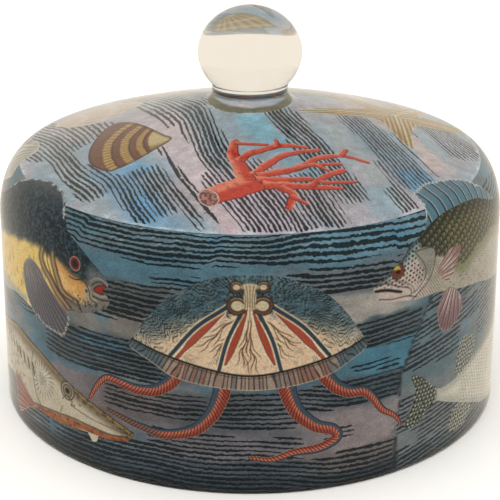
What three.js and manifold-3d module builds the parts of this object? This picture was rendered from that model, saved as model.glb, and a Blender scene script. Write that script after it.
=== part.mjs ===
// A découpage glass dome: a clear blown-glass cover, open underneath, with a solid glass ball knob fused
// to its crown. Printed paper is glued inside the glass: cut-out sea creatures first, then sheets of sea
// print behind them, then a sealed backing.
// Millimetres, +Z up, origin at the centre of the rim's resting plane, the front faces -Y.
import * as THREE from "three";
import { mergeVertices } from "three/addons/utils/BufferGeometryUtils.js";
import Module from "manifold-3d";

const wasm = await Module();
wasm.setup();

// Driving dimensions of the glass.
const RIM_RADIUS = 127;
const WALL_TOP_RADIUS = 125.5;
const WALL_HEIGHT = 96.5;
const SHOULDER_REACH = 16;
const SHOULDER_RISE = 28.5;
const SHOULDER_TURN = THREE.MathUtils.degToRad(80);
const CROWN_MIDDLE_RADIUS = 70;
const COLLAR_RADIUS = 24;
const COLLAR_HEIGHT = 148.5;
const NECK_RADIUS = 18.9;
const COLLAR_TOP = 153.3;
const GLASS_THICKNESS = 4;
const SEGMENTS = 48;

// The knob.
const KNOB_FOOT = 153.6;
const BALL_CENTRE = 173.2;
const BALL_RADIUS = 25.5;
const BALL_HALF_HEIGHT = 22.8;
const NECK_WAIST = 18.5;
const KNOB_SEGMENTS = 36;

// The paper layers, as depths inside the glass's outer surface. Each keeps a small gap to the next.
const PAPER = 0.3;
const GAP = 0.3;
const FIGURE_DEPTH = GLASS_THICKNESS + GAP;
const SHEET_DEPTH = FIGURE_DEPTH + PAPER + GAP;
const BACKING_DEPTH = SHEET_DEPTH + PAPER + GAP;
const BACKING_THICKNESS = 0.4;
const PAPER_EDGE_HEIGHT = 1.5;
const SEAM_HEIGHT = 119.8;

// Where sheets meet, as azimuths in degrees: 0 is the front, positive towards +X.
const WALL_SEAMS = [35, 107, 179, 251, 323];
const CROWN_SEAMS = [75, 180, 285];

// Cut-outs on the wall are drawn in millimetres along the wall and up the glass, with 0 at the front.
const WALL_SCALE = 125;

const GLASS = new THREE.MeshStandardMaterial({ color: 0xf3f1e8, roughness: 0.03 });
GLASS.transparent = true;
GLASS.opacity = 0.35;
const inkPaper = (color) => new THREE.MeshStandardMaterial({ color, roughness: 0.6 });

const v2 = (x, y) => new THREE.Vector2(x, y);

// The middle line of the glass's outer surface, from the rim to the axis, one point per facet edge.
function outerLine(foot) {
  const slope = (SHOULDER_RISE / SHOULDER_REACH) / Math.tan(SHOULDER_TURN);
  const lean = (WALL_TOP_RADIUS - RIM_RADIUS) / WALL_HEIGHT;
  const points = [v2(RIM_RADIUS + lean * foot, foot)];
  const arcSteps = 5;
  for (let i = 0; i <= arcSteps; i++) {
    const turn = (SHOULDER_TURN * i) / arcSteps;
    const r = WALL_TOP_RADIUS - SHOULDER_REACH * (1 - Math.cos(turn));
    points.push(v2(r, WALL_HEIGHT + SHOULDER_RISE * Math.sin(turn)));
  }
  const start = points[points.length - 1].clone();
  const middle = v2(CROWN_MIDDLE_RADIUS, start.y + slope * (start.x - CROWN_MIDDLE_RADIUS));
  const end = v2(COLLAR_RADIUS, COLLAR_HEIGHT);
  points.push(...new THREE.QuadraticBezierCurve(start, middle, end).getPoints(3).slice(1));
  const endSlope = (end.y - middle.y) / (middle.x - end.x);
  const top = v2(0, end.y + (COLLAR_RADIUS * endSlope) / 2);
  const nearTop = v2(COLLAR_RADIUS / 2, end.y + (COLLAR_RADIUS * endSlope * 3) / 8);
  points.push(nearTop, top);
  return points;
}

// The outer line moved inwards by a depth, along the mean normal of the two facets at each point.
function lineAtDepth(depth, foot = 0) {
  const line = outerLine(foot);
  const last = line.length - 1;
  return line.map((p, i) => {
    const a = line[Math.max(i - 1, 0)];
    const b = line[Math.min(i + 1, last)];
    const along = b.clone().sub(a).normalize();
    const inwards = v2(-along.y, along.x);
    if (i === 0) return v2(p.x - depth, p.y);
    if (i === last) return v2(0, p.y - depth);
    return p.clone().addScaledVector(inwards, depth);
  });
}

// A geometry as a manifold solid with its faces pointing out.
function solidOf(geometry) {
  const bare = new THREE.BufferGeometry();
  bare.setAttribute("position", geometry.getAttribute("position"));
  bare.setIndex(geometry.index);
  const merged = mergeVertices(bare, 1e-4);
  const index = [];
  for (let i = 0; i < merged.index.count; i += 3) {
    const [a, b, c] = [0, 1, 2].map((k) => merged.index.getX(i + k));
    if (a !== b && b !== c && a !== c) index.push(a, b, c);
  }
  const vertProperties = merged.attributes.position.array;
  const build = (triangles) =>
    new wasm.Manifold(new wasm.Mesh({ numProp: 3, vertProperties, triVerts: new Uint32Array(triangles) }));
  const made = build(index);
  return made.volume() > 0 ? made : build(index.reverse());
}

function geometryOf(solid) {
  const mesh = solid.getMesh();
  const positions = new Float32Array(mesh.numVert * 3);
  for (let i = 0; i < mesh.numVert; i++) {
    positions.set(mesh.vertProperties.subarray(i * mesh.numProp, i * mesh.numProp + 3), i * 3);
  }
  const geometry = new THREE.BufferGeometry();
  geometry.setAttribute("position", new THREE.BufferAttribute(positions, 3));
  geometry.setIndex(new THREE.BufferAttribute(mesh.triVerts, 1));
  geometry.computeVertexNormals();
  return geometry;
}

// A profile of (radius, height) points turned about +Z.
function turned(points, segments) {
  return new THREE.LatheGeometry(points, segments).rotateX(Math.PI / 2);
}

// A shell of the dome between two depths, open at the rim.
function layer(depth, thickness, foot) {
  const inside = lineAtDepth(depth + thickness, foot).reverse();
  const outside = lineAtDepth(depth, foot);
  return solidOf(turned([...inside, ...outside], SEGMENTS));
}

// The point at a distance u up from the rim, along the middle of the glass.
const middleLine = lineAtDepth(GLASS_THICKNESS / 2);
function pointAt(u) {
  let left = u;
  for (let i = 1; i < middleLine.length; i++) {
    const step = middleLine[i].distanceTo(middleLine[i - 1]);
    if (left <= step) return middleLine[i - 1].clone().lerp(middleLine[i], left / step);
    left -= step;
  }
  return middleLine[middleLine.length - 1].clone();
}

// A place on the glass as a direction from a point on the axis, scaled out or in.
const PROJECTION_CENTRE = 60;
function projected(x, u, scale) {
  const azimuth = x / WALL_SCALE;
  const p = pointAt(Math.max(u, 0));
  const height = u < 0 ? u : p.y;
  return [
    p.x * Math.sin(azimuth) * scale,
    -p.x * Math.cos(azimuth) * scale,
    PROJECTION_CENTRE + (height - PROJECTION_CENTRE) * scale,
  ];
}

// A prism over a closed outline in wall millimetres, wide enough to pass through every paper layer.
function wallPrism(outline) {
  const INNER = 0.6;
  const OUTER = 1.5;
  const faces = THREE.ShapeUtils.triangulateShape(outline, []);
  const n = outline.length;
  const positions = [INNER, OUTER].flatMap((scale) => outline.flatMap((p) => projected(p.x, p.y, scale)));
  const index = [];
  faces.forEach(([a, b, c]) => index.push(a, c, b, a + n, b + n, c + n));
  for (let i = 0; i < n; i++) {
    const j = (i + 1) % n;
    index.push(i, j, j + n, i, j + n, i + n);
  }
  const geometry = new THREE.BufferGeometry();
  geometry.setAttribute("position", new THREE.Float32BufferAttribute(positions, 3));
  geometry.setIndex(index);
  return solidOf(geometry);
}

// A prism over a closed outline seen from above, for the crown.
function crownPrism(outline) {
  const geometry = new THREE.ExtrudeGeometry(new THREE.Shape(outline), { depth: 80, bevelEnabled: false });
  return solidOf(geometry.translate(0, 0, 100));
}

function curveThrough(points, closed) {
  const flat = points.map(([x, y]) => new THREE.Vector3(x, y, 0));
  return new THREE.CatmullRomCurve3(flat, closed, "catmullrom", 0.5);
}

// A closed smooth outline through a few points.
function loop(points, steps = 3) {
  const curve = curveThrough(points, true);
  const outline = curve.getPoints(points.length * steps).slice(0, -1).map((p) => v2(p.x, p.y));
  return THREE.ShapeUtils.isClockWise(outline) ? outline.reverse() : outline;
}

// A strip along a smooth line, narrowing from one width to the other.
function strip(points, startWidth, endWidth, steps = 10) {
  const curve = curveThrough(points, false);
  const left = [];
  const right = [];
  for (let i = 0; i <= steps; i++) {
    const t = i / steps;
    const p = curve.getPoint(t);
    const along = curve.getTangent(t);
    const half = THREE.MathUtils.lerp(startWidth, endWidth, t) / 2;
    left.push(v2(p.x - along.y * half, p.y + along.x * half));
    right.push(v2(p.x + along.y * half, p.y - along.x * half));
  }
  const outline = [...left, ...right.reverse()];
  return THREE.ShapeUtils.isClockWise(outline) ? outline.reverse() : outline;
}

// A fan, such as a scallop's shell: round at the far edge, pointed at its hinge.
function fan(hinge, reach, spread, turn) {
  const points = [[hinge[0], hinge[1]]];
  const steps = 8;
  for (let i = 0; i <= steps; i++) {
    const angle = turn + spread * (i / steps - 0.5);
    const r = reach * (0.86 + 0.14 * Math.cos((angle - turn) * 2));
    points.push([hinge[0] + r * Math.sin(angle), hinge[1] + r * Math.cos(angle)]);
  }
  return loop(points, 2);
}

// A sector of the plan, used to part a ring of paper into sheets. Azimuths in degrees.
function sector(from, to) {
  const REACH = 300;
  const seamGap = 0.15;
  const at = (azimuth, reach) => {
    const a = THREE.MathUtils.degToRad(azimuth);
    return v2(reach * Math.sin(a), -reach * Math.cos(a));
  };
  const inwards = (azimuth, side) => at(azimuth + side * 90, seamGap);
  const start = inwards(from, 1);
  const end = inwards(to, -1);
  const middle = at((from + to) / 2, 0.3);
  const outer = [at((2 * from + to) / 3, REACH), at((from + 2 * to) / 3, REACH)];
  const shape = new THREE.Shape([middle, at(from, REACH).add(start), ...outer, at(to, REACH).add(end)]);
  return solidOf(new THREE.ExtrudeGeometry(shape, { depth: 200, bevelEnabled: false }).translate(0, 0, -10));
}

const union = (solids) => solids.reduce((all, s) => all.add(s));

const dome = new THREE.Group();
function place(name, solid, material) {
  const mesh = new THREE.Mesh(geometryOf(solid), material);
  mesh.name = name;
  dome.add(mesh);
}

// The glass cover: the shell, thickened at the crown's centre into a collar under the knob.
function glassCover() {
  const inside = lineAtDepth(GLASS_THICKNESS).reverse();
  const outside = lineAtDepth(0).slice(0, -2);
  const flare = v2(NECK_RADIUS + 1.3, COLLAR_HEIGHT + 1.8);
  const profile = [...inside, ...outside, flare, v2(NECK_RADIUS, COLLAR_TOP), v2(0, COLLAR_TOP)];
  return solidOf(turned(profile, SEGMENTS));
}

// The knob: a slightly flattened ball on a short waisted neck, one solid gather of glass.
function knob() {
  const latitude = Math.acos(NECK_RADIUS / BALL_RADIUS);
  const waistHeight = (KNOB_FOOT + BALL_CENTRE - BALL_HALF_HEIGHT * Math.sin(latitude)) / 2;
  const profile = [v2(0, KNOB_FOOT), v2(NECK_RADIUS, KNOB_FOOT), v2(NECK_WAIST, waistHeight)];
  const steps = 10;
  for (let i = 0; i <= steps; i++) {
    const turn = -latitude + ((Math.PI / 2 + latitude) * i) / steps;
    profile.push(v2(BALL_RADIUS * Math.cos(turn), BALL_CENTRE + BALL_HALF_HEIGHT * Math.sin(turn)));
  }
  profile[profile.length - 1].x = 0;
  return solidOf(turned(profile, KNOB_SEGMENTS));
}

place("glass_dome", glassCover(), GLASS);
place("glass_knob", knob(), GLASS);

// The sea print behind the figures: sheets round the wall, and wider ones over the crown.
const seaPrint = inkPaper(0x56788c);
const sheetLayer = layer(SHEET_DEPTH, PAPER, PAPER_EDGE_HEIGHT);
const [crownLayer, wallLayer] = sheetLayer.splitByPlane([0, 0, 1], SEAM_HEIGHT);
const loweredWall = wallLayer.trimByPlane([0, 0, -1], -(SEAM_HEIGHT - GAP));
WALL_SEAMS.forEach((from, i) => {
  const to = i + 1 < WALL_SEAMS.length ? WALL_SEAMS[i + 1] : WALL_SEAMS[0] + 360;
  place(`wall_print_${i + 1}`, loweredWall.intersect(sector(from, to)), seaPrint);
});
CROWN_SEAMS.forEach((from, i) => {
  const to = i + 1 < CROWN_SEAMS.length ? CROWN_SEAMS[i + 1] : CROWN_SEAMS[0] + 360;
  place(`crown_print_${i + 1}`, crownLayer.intersect(sector(from, to)), seaPrint);
});

// The sealed backing that closes the paper in.
const backingPaper = inkPaper(0xd9cdb4);
const backingLayer = layer(BACKING_DEPTH, BACKING_THICKNESS, PAPER_EDGE_HEIGHT);
const [crownBacking, wallBacking] = backingLayer.splitByPlane([0, 0, 1], SEAM_HEIGHT);
place("crown_backing", crownBacking, backingPaper);
place("wall_backing", wallBacking.trimByPlane([0, 0, -1], -(SEAM_HEIGHT - GAP)), backingPaper);

// The cut-outs.
const figureLayer = layer(FIGURE_DEPTH, PAPER, PAPER_EDGE_HEIGHT);
const onWall = (name, outlines, color) =>
  place(name, figureLayer.intersect(union(outlines.map(wallPrism))), inkPaper(color));
const onCrown = (name, outlines, color) =>
  place(name, figureLayer.intersect(union(outlines.map(crownPrism))), inkPaper(color));

// The jellyfish at the front: a bell with a ribbed hem and four trailing arms.
const JELLY_BELL = [
  [0, 105], [20, 102], [38, 90], [50, 74], [53, 65], [36, 57], [18, 52], [0, 50], [-18, 52],
  [-36, 56], [-55, 65],
  [-52, 74], [-40, 90], [-20, 102],
];
const JELLY_ARMS = [
  [[-33, 58], [-43, 49], [-54, 47], [-66, 50], [-71, 45], [-78, 36]],
  [[-12, 54], [-16, 42], [-24, 32], [-39, 27], [-54, 29], [-68, 32]],
  [[16, 55], [18, 44], [27, 35], [40, 31], [41, 25], [26, 20], [14, 19], [3, 24]],
  [[33, 59], [43, 50], [54, 47], [61, 36], [73, 23]],
];
onWall("jellyfish_cutout", [loop(JELLY_BELL), ...JELLY_ARMS.map((arm) => strip(arm, 8, 3.4))], 0xd8c6a2);

// The fishes of the wall. Each is one closed outline round the back, tail, belly and fins.
const TENCH = [
  [-67, 92], [-71, 98], [-80, 106], [-93, 113], [-99, 122], [-112, 130], [-132, 131], [-150, 123],
  [-166, 111],
  [-190, 104], [-222, 100], [-250, 110], [-262, 98], [-254, 84], [-262, 70], [-246, 70],
  [-222, 82], [-190, 68],
  [-160, 62], [-131, 67], [-120, 61], [-109, 60], [-98, 62], [-91, 66], [-88, 75], [-78, 80], [-69, 86],
];
onWall("tench_cutout", [loop(TENCH)], 0xc9a24d);
const PIKE = [
  [-56, 23], [-62, 27], [-73, 32], [-85, 36.5], [-98, 41], [-116, 48], [-140, 52], [-165, 47], [-190, 38],
  [-215, 29], [-232, 22], [-250, 26], [-262, 16], [-256, 4], [-250, -4], [-200, -4], [-165, -4], [-150, -3],
  [-128, 2], [-134, 10], [-113, 16], [-93, 17.5], [-79, 18], [-68, 18], [-58, 19],
];
onWall("pike_cutout", [loop(PIKE)], 0xb8b093);
const PERCH = [
  [57, 93], [64, 98], [72, 103], [81, 108], [88, 112], [95, 118], [100, 126], [103, 138],
  [117, 138], [132, 132],
  [145, 122], [162, 113], [185, 106], [212, 98], [230, 96], [250, 106], [262, 94], [254, 82],
  [262, 70], [246, 68],
  [226, 78], [200, 68], [175, 67], [150, 72], [132, 77], [119, 78], [112, 66], [104, 60], [96, 68], [99, 80],
  [91, 84], [72, 85], [64, 86],
];
onWall("perch_cutout", [loop(PERCH)], 0x7f8a5c);
const SPOTTED_FISH = [
  [80, 22], [82, 34], [84, 45], [92, 42], [100, 35], [110, 34], [116, 36], [112, 43], [118, 53], [131, 53],
  [134, 46], [150, 47], [180, 50], [212, 46], [235, 34], [250, 25], [240, 17], [225, 10], [200, 4], [170, 2],
  [145, 5], [134, 11], [124, 4], [112, 5], [114, 13], [122, 18], [110, 23], [102, 26], [90, 19],
];
onWall("spotted_fish_cutout", [loop(SPOTTED_FISH)], 0xa9a893);

// The back of the wall.
const ANGELFISH = [
  [-272, 48], [-286, 58], [-292, 76], [-312, 88], [-318, 70], [-314, 56], [-326, 62], [-332, 48], [-326, 34],
  [-314, 40], [-318, 26], [-312, 10], [-292, 20], [-286, 38],
];
onWall("angelfish_cutout", [loop(ANGELFISH)], 0xc7803f);
const SEAHORSE = [
  [296, 104], [308, 98], [320, 88], [314, 83], [304, 86], [302, 74], [310, 58], [302, 38],
  [288, 30], [286, 20],
  [297, 18], [291, 11], [278, 17], [278, 33], [290, 47], [284, 63], [284, 84], [287, 99],
];
onWall("seahorse_cutout", [loop(SEAHORSE)], 0xc2a25a);
const CRAB_CENTRE = [384, 56];
const CRAB_BODY = [
  [0, 16], [16, 16], [30, 8], [30, -4], [16, -16], [0, -18], [-16, -16], [-30, -4], [-30, 8], [-16, 16],
];
const CRAB_LIMBS = [
  { line: [[20, 10], [36, 22], [30, 38]], from: 8, to: 10 },
  { line: [[26, 2], [40, 6], [48, -6]], from: 5, to: 3 },
  { line: [[26, -4], [40, -8], [44, -24]], from: 5, to: 3 },
  { line: [[18, -10], [32, -20], [32, -36]], from: 5, to: 3 },
];
const onCrab = (side) => ([x, y]) => [CRAB_CENTRE[0] + side * x, CRAB_CENTRE[1] + y];
const crabLimbs = [-1, 1].flatMap((side) =>
  CRAB_LIMBS.map(({ line, from, to }) => strip(line.map(onCrab(side)), from, to, 6)),
);
onWall("crab_cutout", [loop(CRAB_BODY.map(onCrab(1))), ...crabLimbs], 0xb4532f);

// The shoulder and the crown, drawn in plan.
const LIMPET = [[-168, 118], [-176, 127], [-187, 134], [-202, 132], [-211, 122], [-204, 113], [-186, 110]];
onWall("limpet_cutout", [loop(LIMPET)], 0xc8c4b4);
const CORAL = [
  { line: [[-19, -89], [-8, -84], [4, -77]], from: 10, to: 12 },
  { line: [[-1, -78], [-5, -65], [-8, -55], [-6, -45]], from: 8, to: 3 },
  { line: [[-7, -47], [0, -48], [8, -48]], from: 2.6, to: 2.2 },
  { line: [[-5, -62], [0, -56], [7, -52], [15, -48], [26, -48]], from: 4, to: 3 },
  { line: [[2, -73], [10, -62], [18, -55], [32, -49]], from: 4.4, to: 2.6 },
  { line: [[4, -74], [22, -66], [32, -56], [44, -51], [55, -53]], from: 5, to: 2.4 },
  { line: [[42, -52], [45, -45]], from: 3, to: 2.6 },
  { line: [[20, -67], [30, -62], [42, -59]], from: 3, to: 2 },
  { line: [[4, -77], [16, -76], [28, -74]], from: 5, to: 2.6 },
  { line: [[6, -81], [27, -80], [41, -79]], from: 6, to: 2.6 },
  { line: [[27, -80], [35, -70], [43, -64]], from: 3.4, to: 3 },
  { line: [[32, -76], [38, -75], [48, -72]], from: 3, to: 2 },
  { line: [[13, -82], [19, -87], [17, -97]], from: 4.4, to: 3 },
  { line: [[18, -87], [25, -93]], from: 3, to: 2 },
];
onCrown("coral_cutout", CORAL.map(({ line, from, to }) => strip(line, from, to, 4)), 0xd2452f);
const BANDED_SHELL = [
  [-37, -37], [-45, -25], [-52, -14], [-59, -4], [-67, -1], [-73, -10], [-77, -29], [-75, -46], [-66, -57],
  [-60, -56], [-53, -52], [-45, -45],
];
onCrown("banded_shell_cutout", [loop(BANDED_SHELL)], 0xa8703a);
const PALE_SHELL = [
  [-101, 32], [-91, 16], [-77, 10], [-65, 17], [-57, 25], [-56, 36], [-64, 48], [-80, 52], [-94, 44],
];
onCrown("pale_shell_cutout", [loop(PALE_SHELL)], 0xd8c4b4);
const STARFISH = [
  [24, -12], [43, -6], [60, 4], [66, 2], [71, -12], [78, -27], [80, -12], [84, 12], [96, 17],
  [117, 28], [98, 40],
  [88, 38], [92, 52], [92, 67], [80, 56], [72, 38], [58, 40], [40, 46], [52, 30], [60, 22], [40, 2],
];
onCrown("starfish_cutout", [loop(STARFISH)], 0xc9a95c);
onCrown("scallop_cutout", [fan([10, 46], 42, 1.7, -0.05)], 0xc98f6b);
const NAUTILUS = [
  [-34, 62], [-30, 74], [-34, 88], [-46, 96], [-60, 92], [-66, 80], [-60, 70], [-70, 66],
  [-60, 60], [-46, 58],
];
onCrown("nautilus_cutout", [loop(NAUTILUS)], 0xc9a98a);

export default dome;
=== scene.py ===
"""Looks of the decoupage glass dome: a clear glass cover whose inside is lined with sea-life cut-outs over
an engraved sea print. Lengths inside the drawing code are millimetres; the scene is in metres.

Two charts are used. On the wall and shoulder a place is (x, u): x millimetres round the wall from the front,
u millimetres up the glass from the rim. On the crown a place is its plan (x, y)."""

import bmesh
import bpy
import numpy as np
from mathutils import Euler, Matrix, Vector
from mathutils.geometry import delaunay_2d_cdt


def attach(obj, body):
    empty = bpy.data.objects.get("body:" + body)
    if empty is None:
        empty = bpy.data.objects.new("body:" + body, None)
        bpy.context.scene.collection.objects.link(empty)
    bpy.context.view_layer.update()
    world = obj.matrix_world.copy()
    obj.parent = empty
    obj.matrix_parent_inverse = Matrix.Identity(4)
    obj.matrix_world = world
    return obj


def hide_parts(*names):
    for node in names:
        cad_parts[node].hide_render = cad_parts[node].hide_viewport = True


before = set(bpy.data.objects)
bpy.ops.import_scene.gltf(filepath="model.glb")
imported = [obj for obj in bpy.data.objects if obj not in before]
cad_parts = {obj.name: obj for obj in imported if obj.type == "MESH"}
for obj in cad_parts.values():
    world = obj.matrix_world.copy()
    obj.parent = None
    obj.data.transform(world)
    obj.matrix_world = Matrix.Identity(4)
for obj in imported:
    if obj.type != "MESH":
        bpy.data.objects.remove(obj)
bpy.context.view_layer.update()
MM = 0.001

# ---------------------------------------------------------------- the glass's outline

# Radii and heights of the glass's outer surface, in millimetres.
RIM_RADIUS = 127.0
SHOULDER_FOOT = (125.5, 96.5)
SHOULDER_ACROSS, SHOULDER_UP = 16.0, 28.5
SHOULDER_TURN = np.radians(80)
CROWN_BEND = 70.0
NECK_FOOT = (24.0, 148.5)
NECK_RADIUS = 18.9
BALL_RADIUS, BALL_HALF_HEIGHT, BALL_MIDDLE = 25.5, 22.8, 173.2

# Depths below the outer surface, and the radius that the wall's chart is unrolled at.
GLASS = 4.0
SHEET_DEPTH = 3.90
CROWN_SHEET_DEPTH = 3.86
FIGURE_DEPTH = 3.82
BACKING_DEPTHS = (4.2, 4.6)
WALL_RADIUS = 125.0


def curve(start, middle, end, t):
    """Points of the curve that leaves start towards middle and comes from there to end."""
    return (1 - t) ** 2 * start + 2 * t * (1 - t) * middle + t**2 * end


def outer_line():
    """Points of the glass's outer surface from rim to axis, radius and height."""
    t = np.linspace(0, 1, 193)[:, None]
    wall = (1 - t) * (RIM_RADIUS, 0.0) + t * SHOULDER_FOOT
    turn = SHOULDER_TURN * np.linspace(0, 1, 121)[1:]
    across, up = SHOULDER_ACROSS * (1 - np.cos(turn)), SHOULDER_UP * np.sin(turn)
    shoulder = np.c_[SHOULDER_FOOT[0] - across, SHOULDER_FOOT[1] + up]
    slope = SHOULDER_UP / SHOULDER_ACROSS / np.tan(SHOULDER_TURN)
    start, end = shoulder[-1], np.array(NECK_FOOT)
    middle = np.array((CROWN_BEND, start[1] + slope * (start[0] - CROWN_BEND)))
    crown = curve(start, middle, end, np.linspace(0, 1, 161)[1:, None])
    end_slope = (end[1] - middle[1]) / (middle[0] - end[0])
    r = np.linspace(end[0], 0, 31)[1:]
    cap = np.c_[r, end[1] + end[0] / 2 * end_slope * (1 - (r / end[0]) ** 2)]
    return np.vstack([wall, shoulder, crown, cap])


def directions(line):
    """Unit vectors along a line and to its left."""
    along = np.gradient(line, axis=0)
    along /= np.linalg.norm(along, axis=1)[:, None]
    return along, np.c_[-along[:, 1], along[:, 0]]


LINE = outer_line()
_, INWARDS = directions(LINE)
MIDDLE = LINE + INWARDS * GLASS / 2
UP_GLASS = np.r_[0, np.cumsum(np.linalg.norm(np.diff(MIDDLE, axis=0), axis=1))]
# The crown sheets meet the wall sheets at this height up the glass.
SEAM_U = 124.5
CROWN_EDGE = np.interp(SEAM_U, UP_GLASS, MIDDLE[:, 0])


def on_glass(azimuth, u, depth):
    """Points at a depth inside the glass's outer surface, in metres."""
    place = np.interp(u, UP_GLASS, np.arange(len(LINE)))
    low = np.clip(place.astype(int), 0, len(LINE) - 2)
    part = (place - low)[:, None]
    outer = LINE[low] * (1 - part) + LINE[low + 1] * part
    inwards = INWARDS[low] * (1 - part) + INWARDS[low + 1] * part
    at = outer + inwards * np.asarray(depth).reshape(-1, 1)
    r = np.maximum(at[:, 0], 0)
    return np.c_[r * np.sin(azimuth), -r * np.cos(azimuth), at[:, 1]] * MM


def wall_place(p, depth):
    """Points of the wall's chart on the glass."""
    return on_glass(p[:, 0] / WALL_RADIUS, p[:, 1], depth)


# The first of the glass's points on the shoulder, above the almost upright wall.
SHOULDER_FROM = np.searchsorted(UP_GLASS, 97)


def crown_place(p, depth):
    """Plan points over the crown and shoulder on the glass."""
    x, y = p.T
    u = np.interp(-np.hypot(x, y), -MIDDLE[SHOULDER_FROM:, 0], UP_GLASS[SHOULDER_FROM:])
    return on_glass(np.arctan2(x, -y), u, depth)


# ---------------------------------------------------------------- drawing tools


OUTLINE_PITCH = 0.5
STROKE_PITCH = 0.8


def smooth(points, closed=True, pitch=OUTLINE_PITCH):
    """A smooth line through points, resampled evenly."""
    p = np.asarray(points, float)
    if closed:
        p = np.vstack([p[-1], p, p[0], p[1]])
    else:
        p = np.vstack([2 * p[0] - p[1], p, 2 * p[-1] - p[-2]])
    t = np.linspace(0, 1, 17)[:-1, None]
    pieces = []
    for a, b, c, d in zip(p[:-3], p[1:-2], p[2:-1], p[3:]):
        square, cube = 2 * a - 5 * b + 4 * c - d, 3 * b - a - 3 * c + d
        pieces.append(0.5 * (2 * b + (c - a) * t + square * t**2 + cube * t**3))
    dense = np.vstack(pieces + [p[-2:-1]])
    return resample(dense, closed, pitch)


def stroke(points, closed=False):
    """A smooth line for a pen or brush to follow."""
    line = smooth(points, closed, STROKE_PITCH)
    return np.vstack([line, line[:1]]) if closed else line


def resample(line, closed, pitch):
    """Points at an even pitch along a line."""
    s = np.r_[0, np.cumsum(np.linalg.norm(np.diff(line, axis=0), axis=1))]
    n = max(int(s[-1] / pitch), 3)
    at = np.linspace(0, s[-1], n + 1)
    if closed:
        at = at[:-1]
    return np.c_[np.interp(at, s, line[:, 0]), np.interp(at, s, line[:, 1])]


def to_line(p, line):
    """Distance to a line, distance along it, and the signed side (left is positive)."""
    a, b = line[:-1], line[1:]
    ab = b - a
    length = np.maximum(np.linalg.norm(ab, axis=1), 1e-9)
    starts = np.r_[0, np.cumsum(length)[:-1]]
    best = np.full(len(p), 1e9)
    s = np.zeros(len(p))
    side = np.ones(len(p))
    for i in range(len(a)):
        ap = p - a[i]
        t = np.clip(ap @ ab[i] / length[i] ** 2, 0, 1)
        d = np.hypot(ap[:, 0] - t * ab[i, 0], ap[:, 1] - t * ab[i, 1])
        near = d < best
        best[near] = d[near]
        s[near] = starts[i] + t[near] * length[i]
        cross = ab[i, 0] * ap[:, 1] - ab[i, 1] * ap[:, 0]
        side[near] = np.sign(cross[near])
    return best, s, side


def inside(p, outline):
    """Which points are inside a closed outline."""
    x, y = p.T
    result = np.zeros(len(p), bool)
    x0, y0 = outline[-1]
    for x1, y1 in outline:
        if y0 != y1:
            crosses = (y0 > y) != (y1 > y)
            result ^= crosses & (x < (x1 - x0) * (y - y0) / (y1 - y0) + x0)
        x0, y0 = x1, y1
    return result


# Noise repeats after this many cells.
CELLS = 64


def noise(x, y, seed):
    """Smooth value noise, 0 to 1."""
    table = np.random.default_rng(seed).random((CELLS, CELLS))
    xi, yi = np.floor(x).astype(int), np.floor(y).astype(int)
    fx, fy = x - xi, y - yi
    fx, fy = fx * fx * (3 - 2 * fx), fy * fy * (3 - 2 * fy)

    def at(i, j):
        return table[(xi + i) % CELLS, (yi + j) % CELLS]

    low = at(0, 0) * (1 - fx) + at(1, 0) * fx
    high = at(0, 1) * (1 - fx) + at(1, 1) * fx
    return low * (1 - fy) + high * fy


def fractal(x, y, seed, octaves=3):
    """Noise in ever finer layers, 0 to 1."""
    total, weight = 0, 0
    for i in range(octaves):
        total = total + noise(x * 2**i, y * 2**i, seed + i) / 2**i
        weight += 1 / 2**i
    return total / weight


def cloud(p, wide, tall, seed):
    """Soft clouds of a width and height over points, 0 to 1."""
    return fractal(p[:, 0] / wide, p[:, 1] / tall, seed)


def step(value, low, high):
    """A smooth step from 0 at low to 1 at high."""
    t = np.clip((value - low) / (high - low), 0, 1)
    return t * t * (3 - 2 * t)


def patches(p, wide, tall, seed, low, high):
    """Soft-edged patches: 1 where clouds rise above high, 0 where they are below low."""
    return step(cloud(p, wide, tall, seed), low, high)


def stripes(value, low=0.3, high=0.1):
    """1 along the lines where a value is halfway between whole numbers; low and high are half-widths."""
    return step(np.abs(value % 1 - 0.5), low, high)


def polar(p, centre):
    """Angle and distance of points from a centre."""
    x, y = (p - centre).T
    return np.arctan2(y, x), np.hypot(x, y)


def rgb(text):
    """A colour, 0 to 1, from six hexadecimal digits."""
    return np.array([int(text[i : i + 2], 16) / 255 for i in (0, 2, 4)])


def linear(colour):
    """The linear light of display values."""
    colour = np.clip(colour, 0, 1)
    return np.where(colour <= 0.04045, colour / 12.92, ((colour + 0.055) / 1.055) ** 2.4)


def shader_colour(text):
    """A colour for a shader's socket."""
    return (*linear(rgb(text)), 1)


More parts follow.
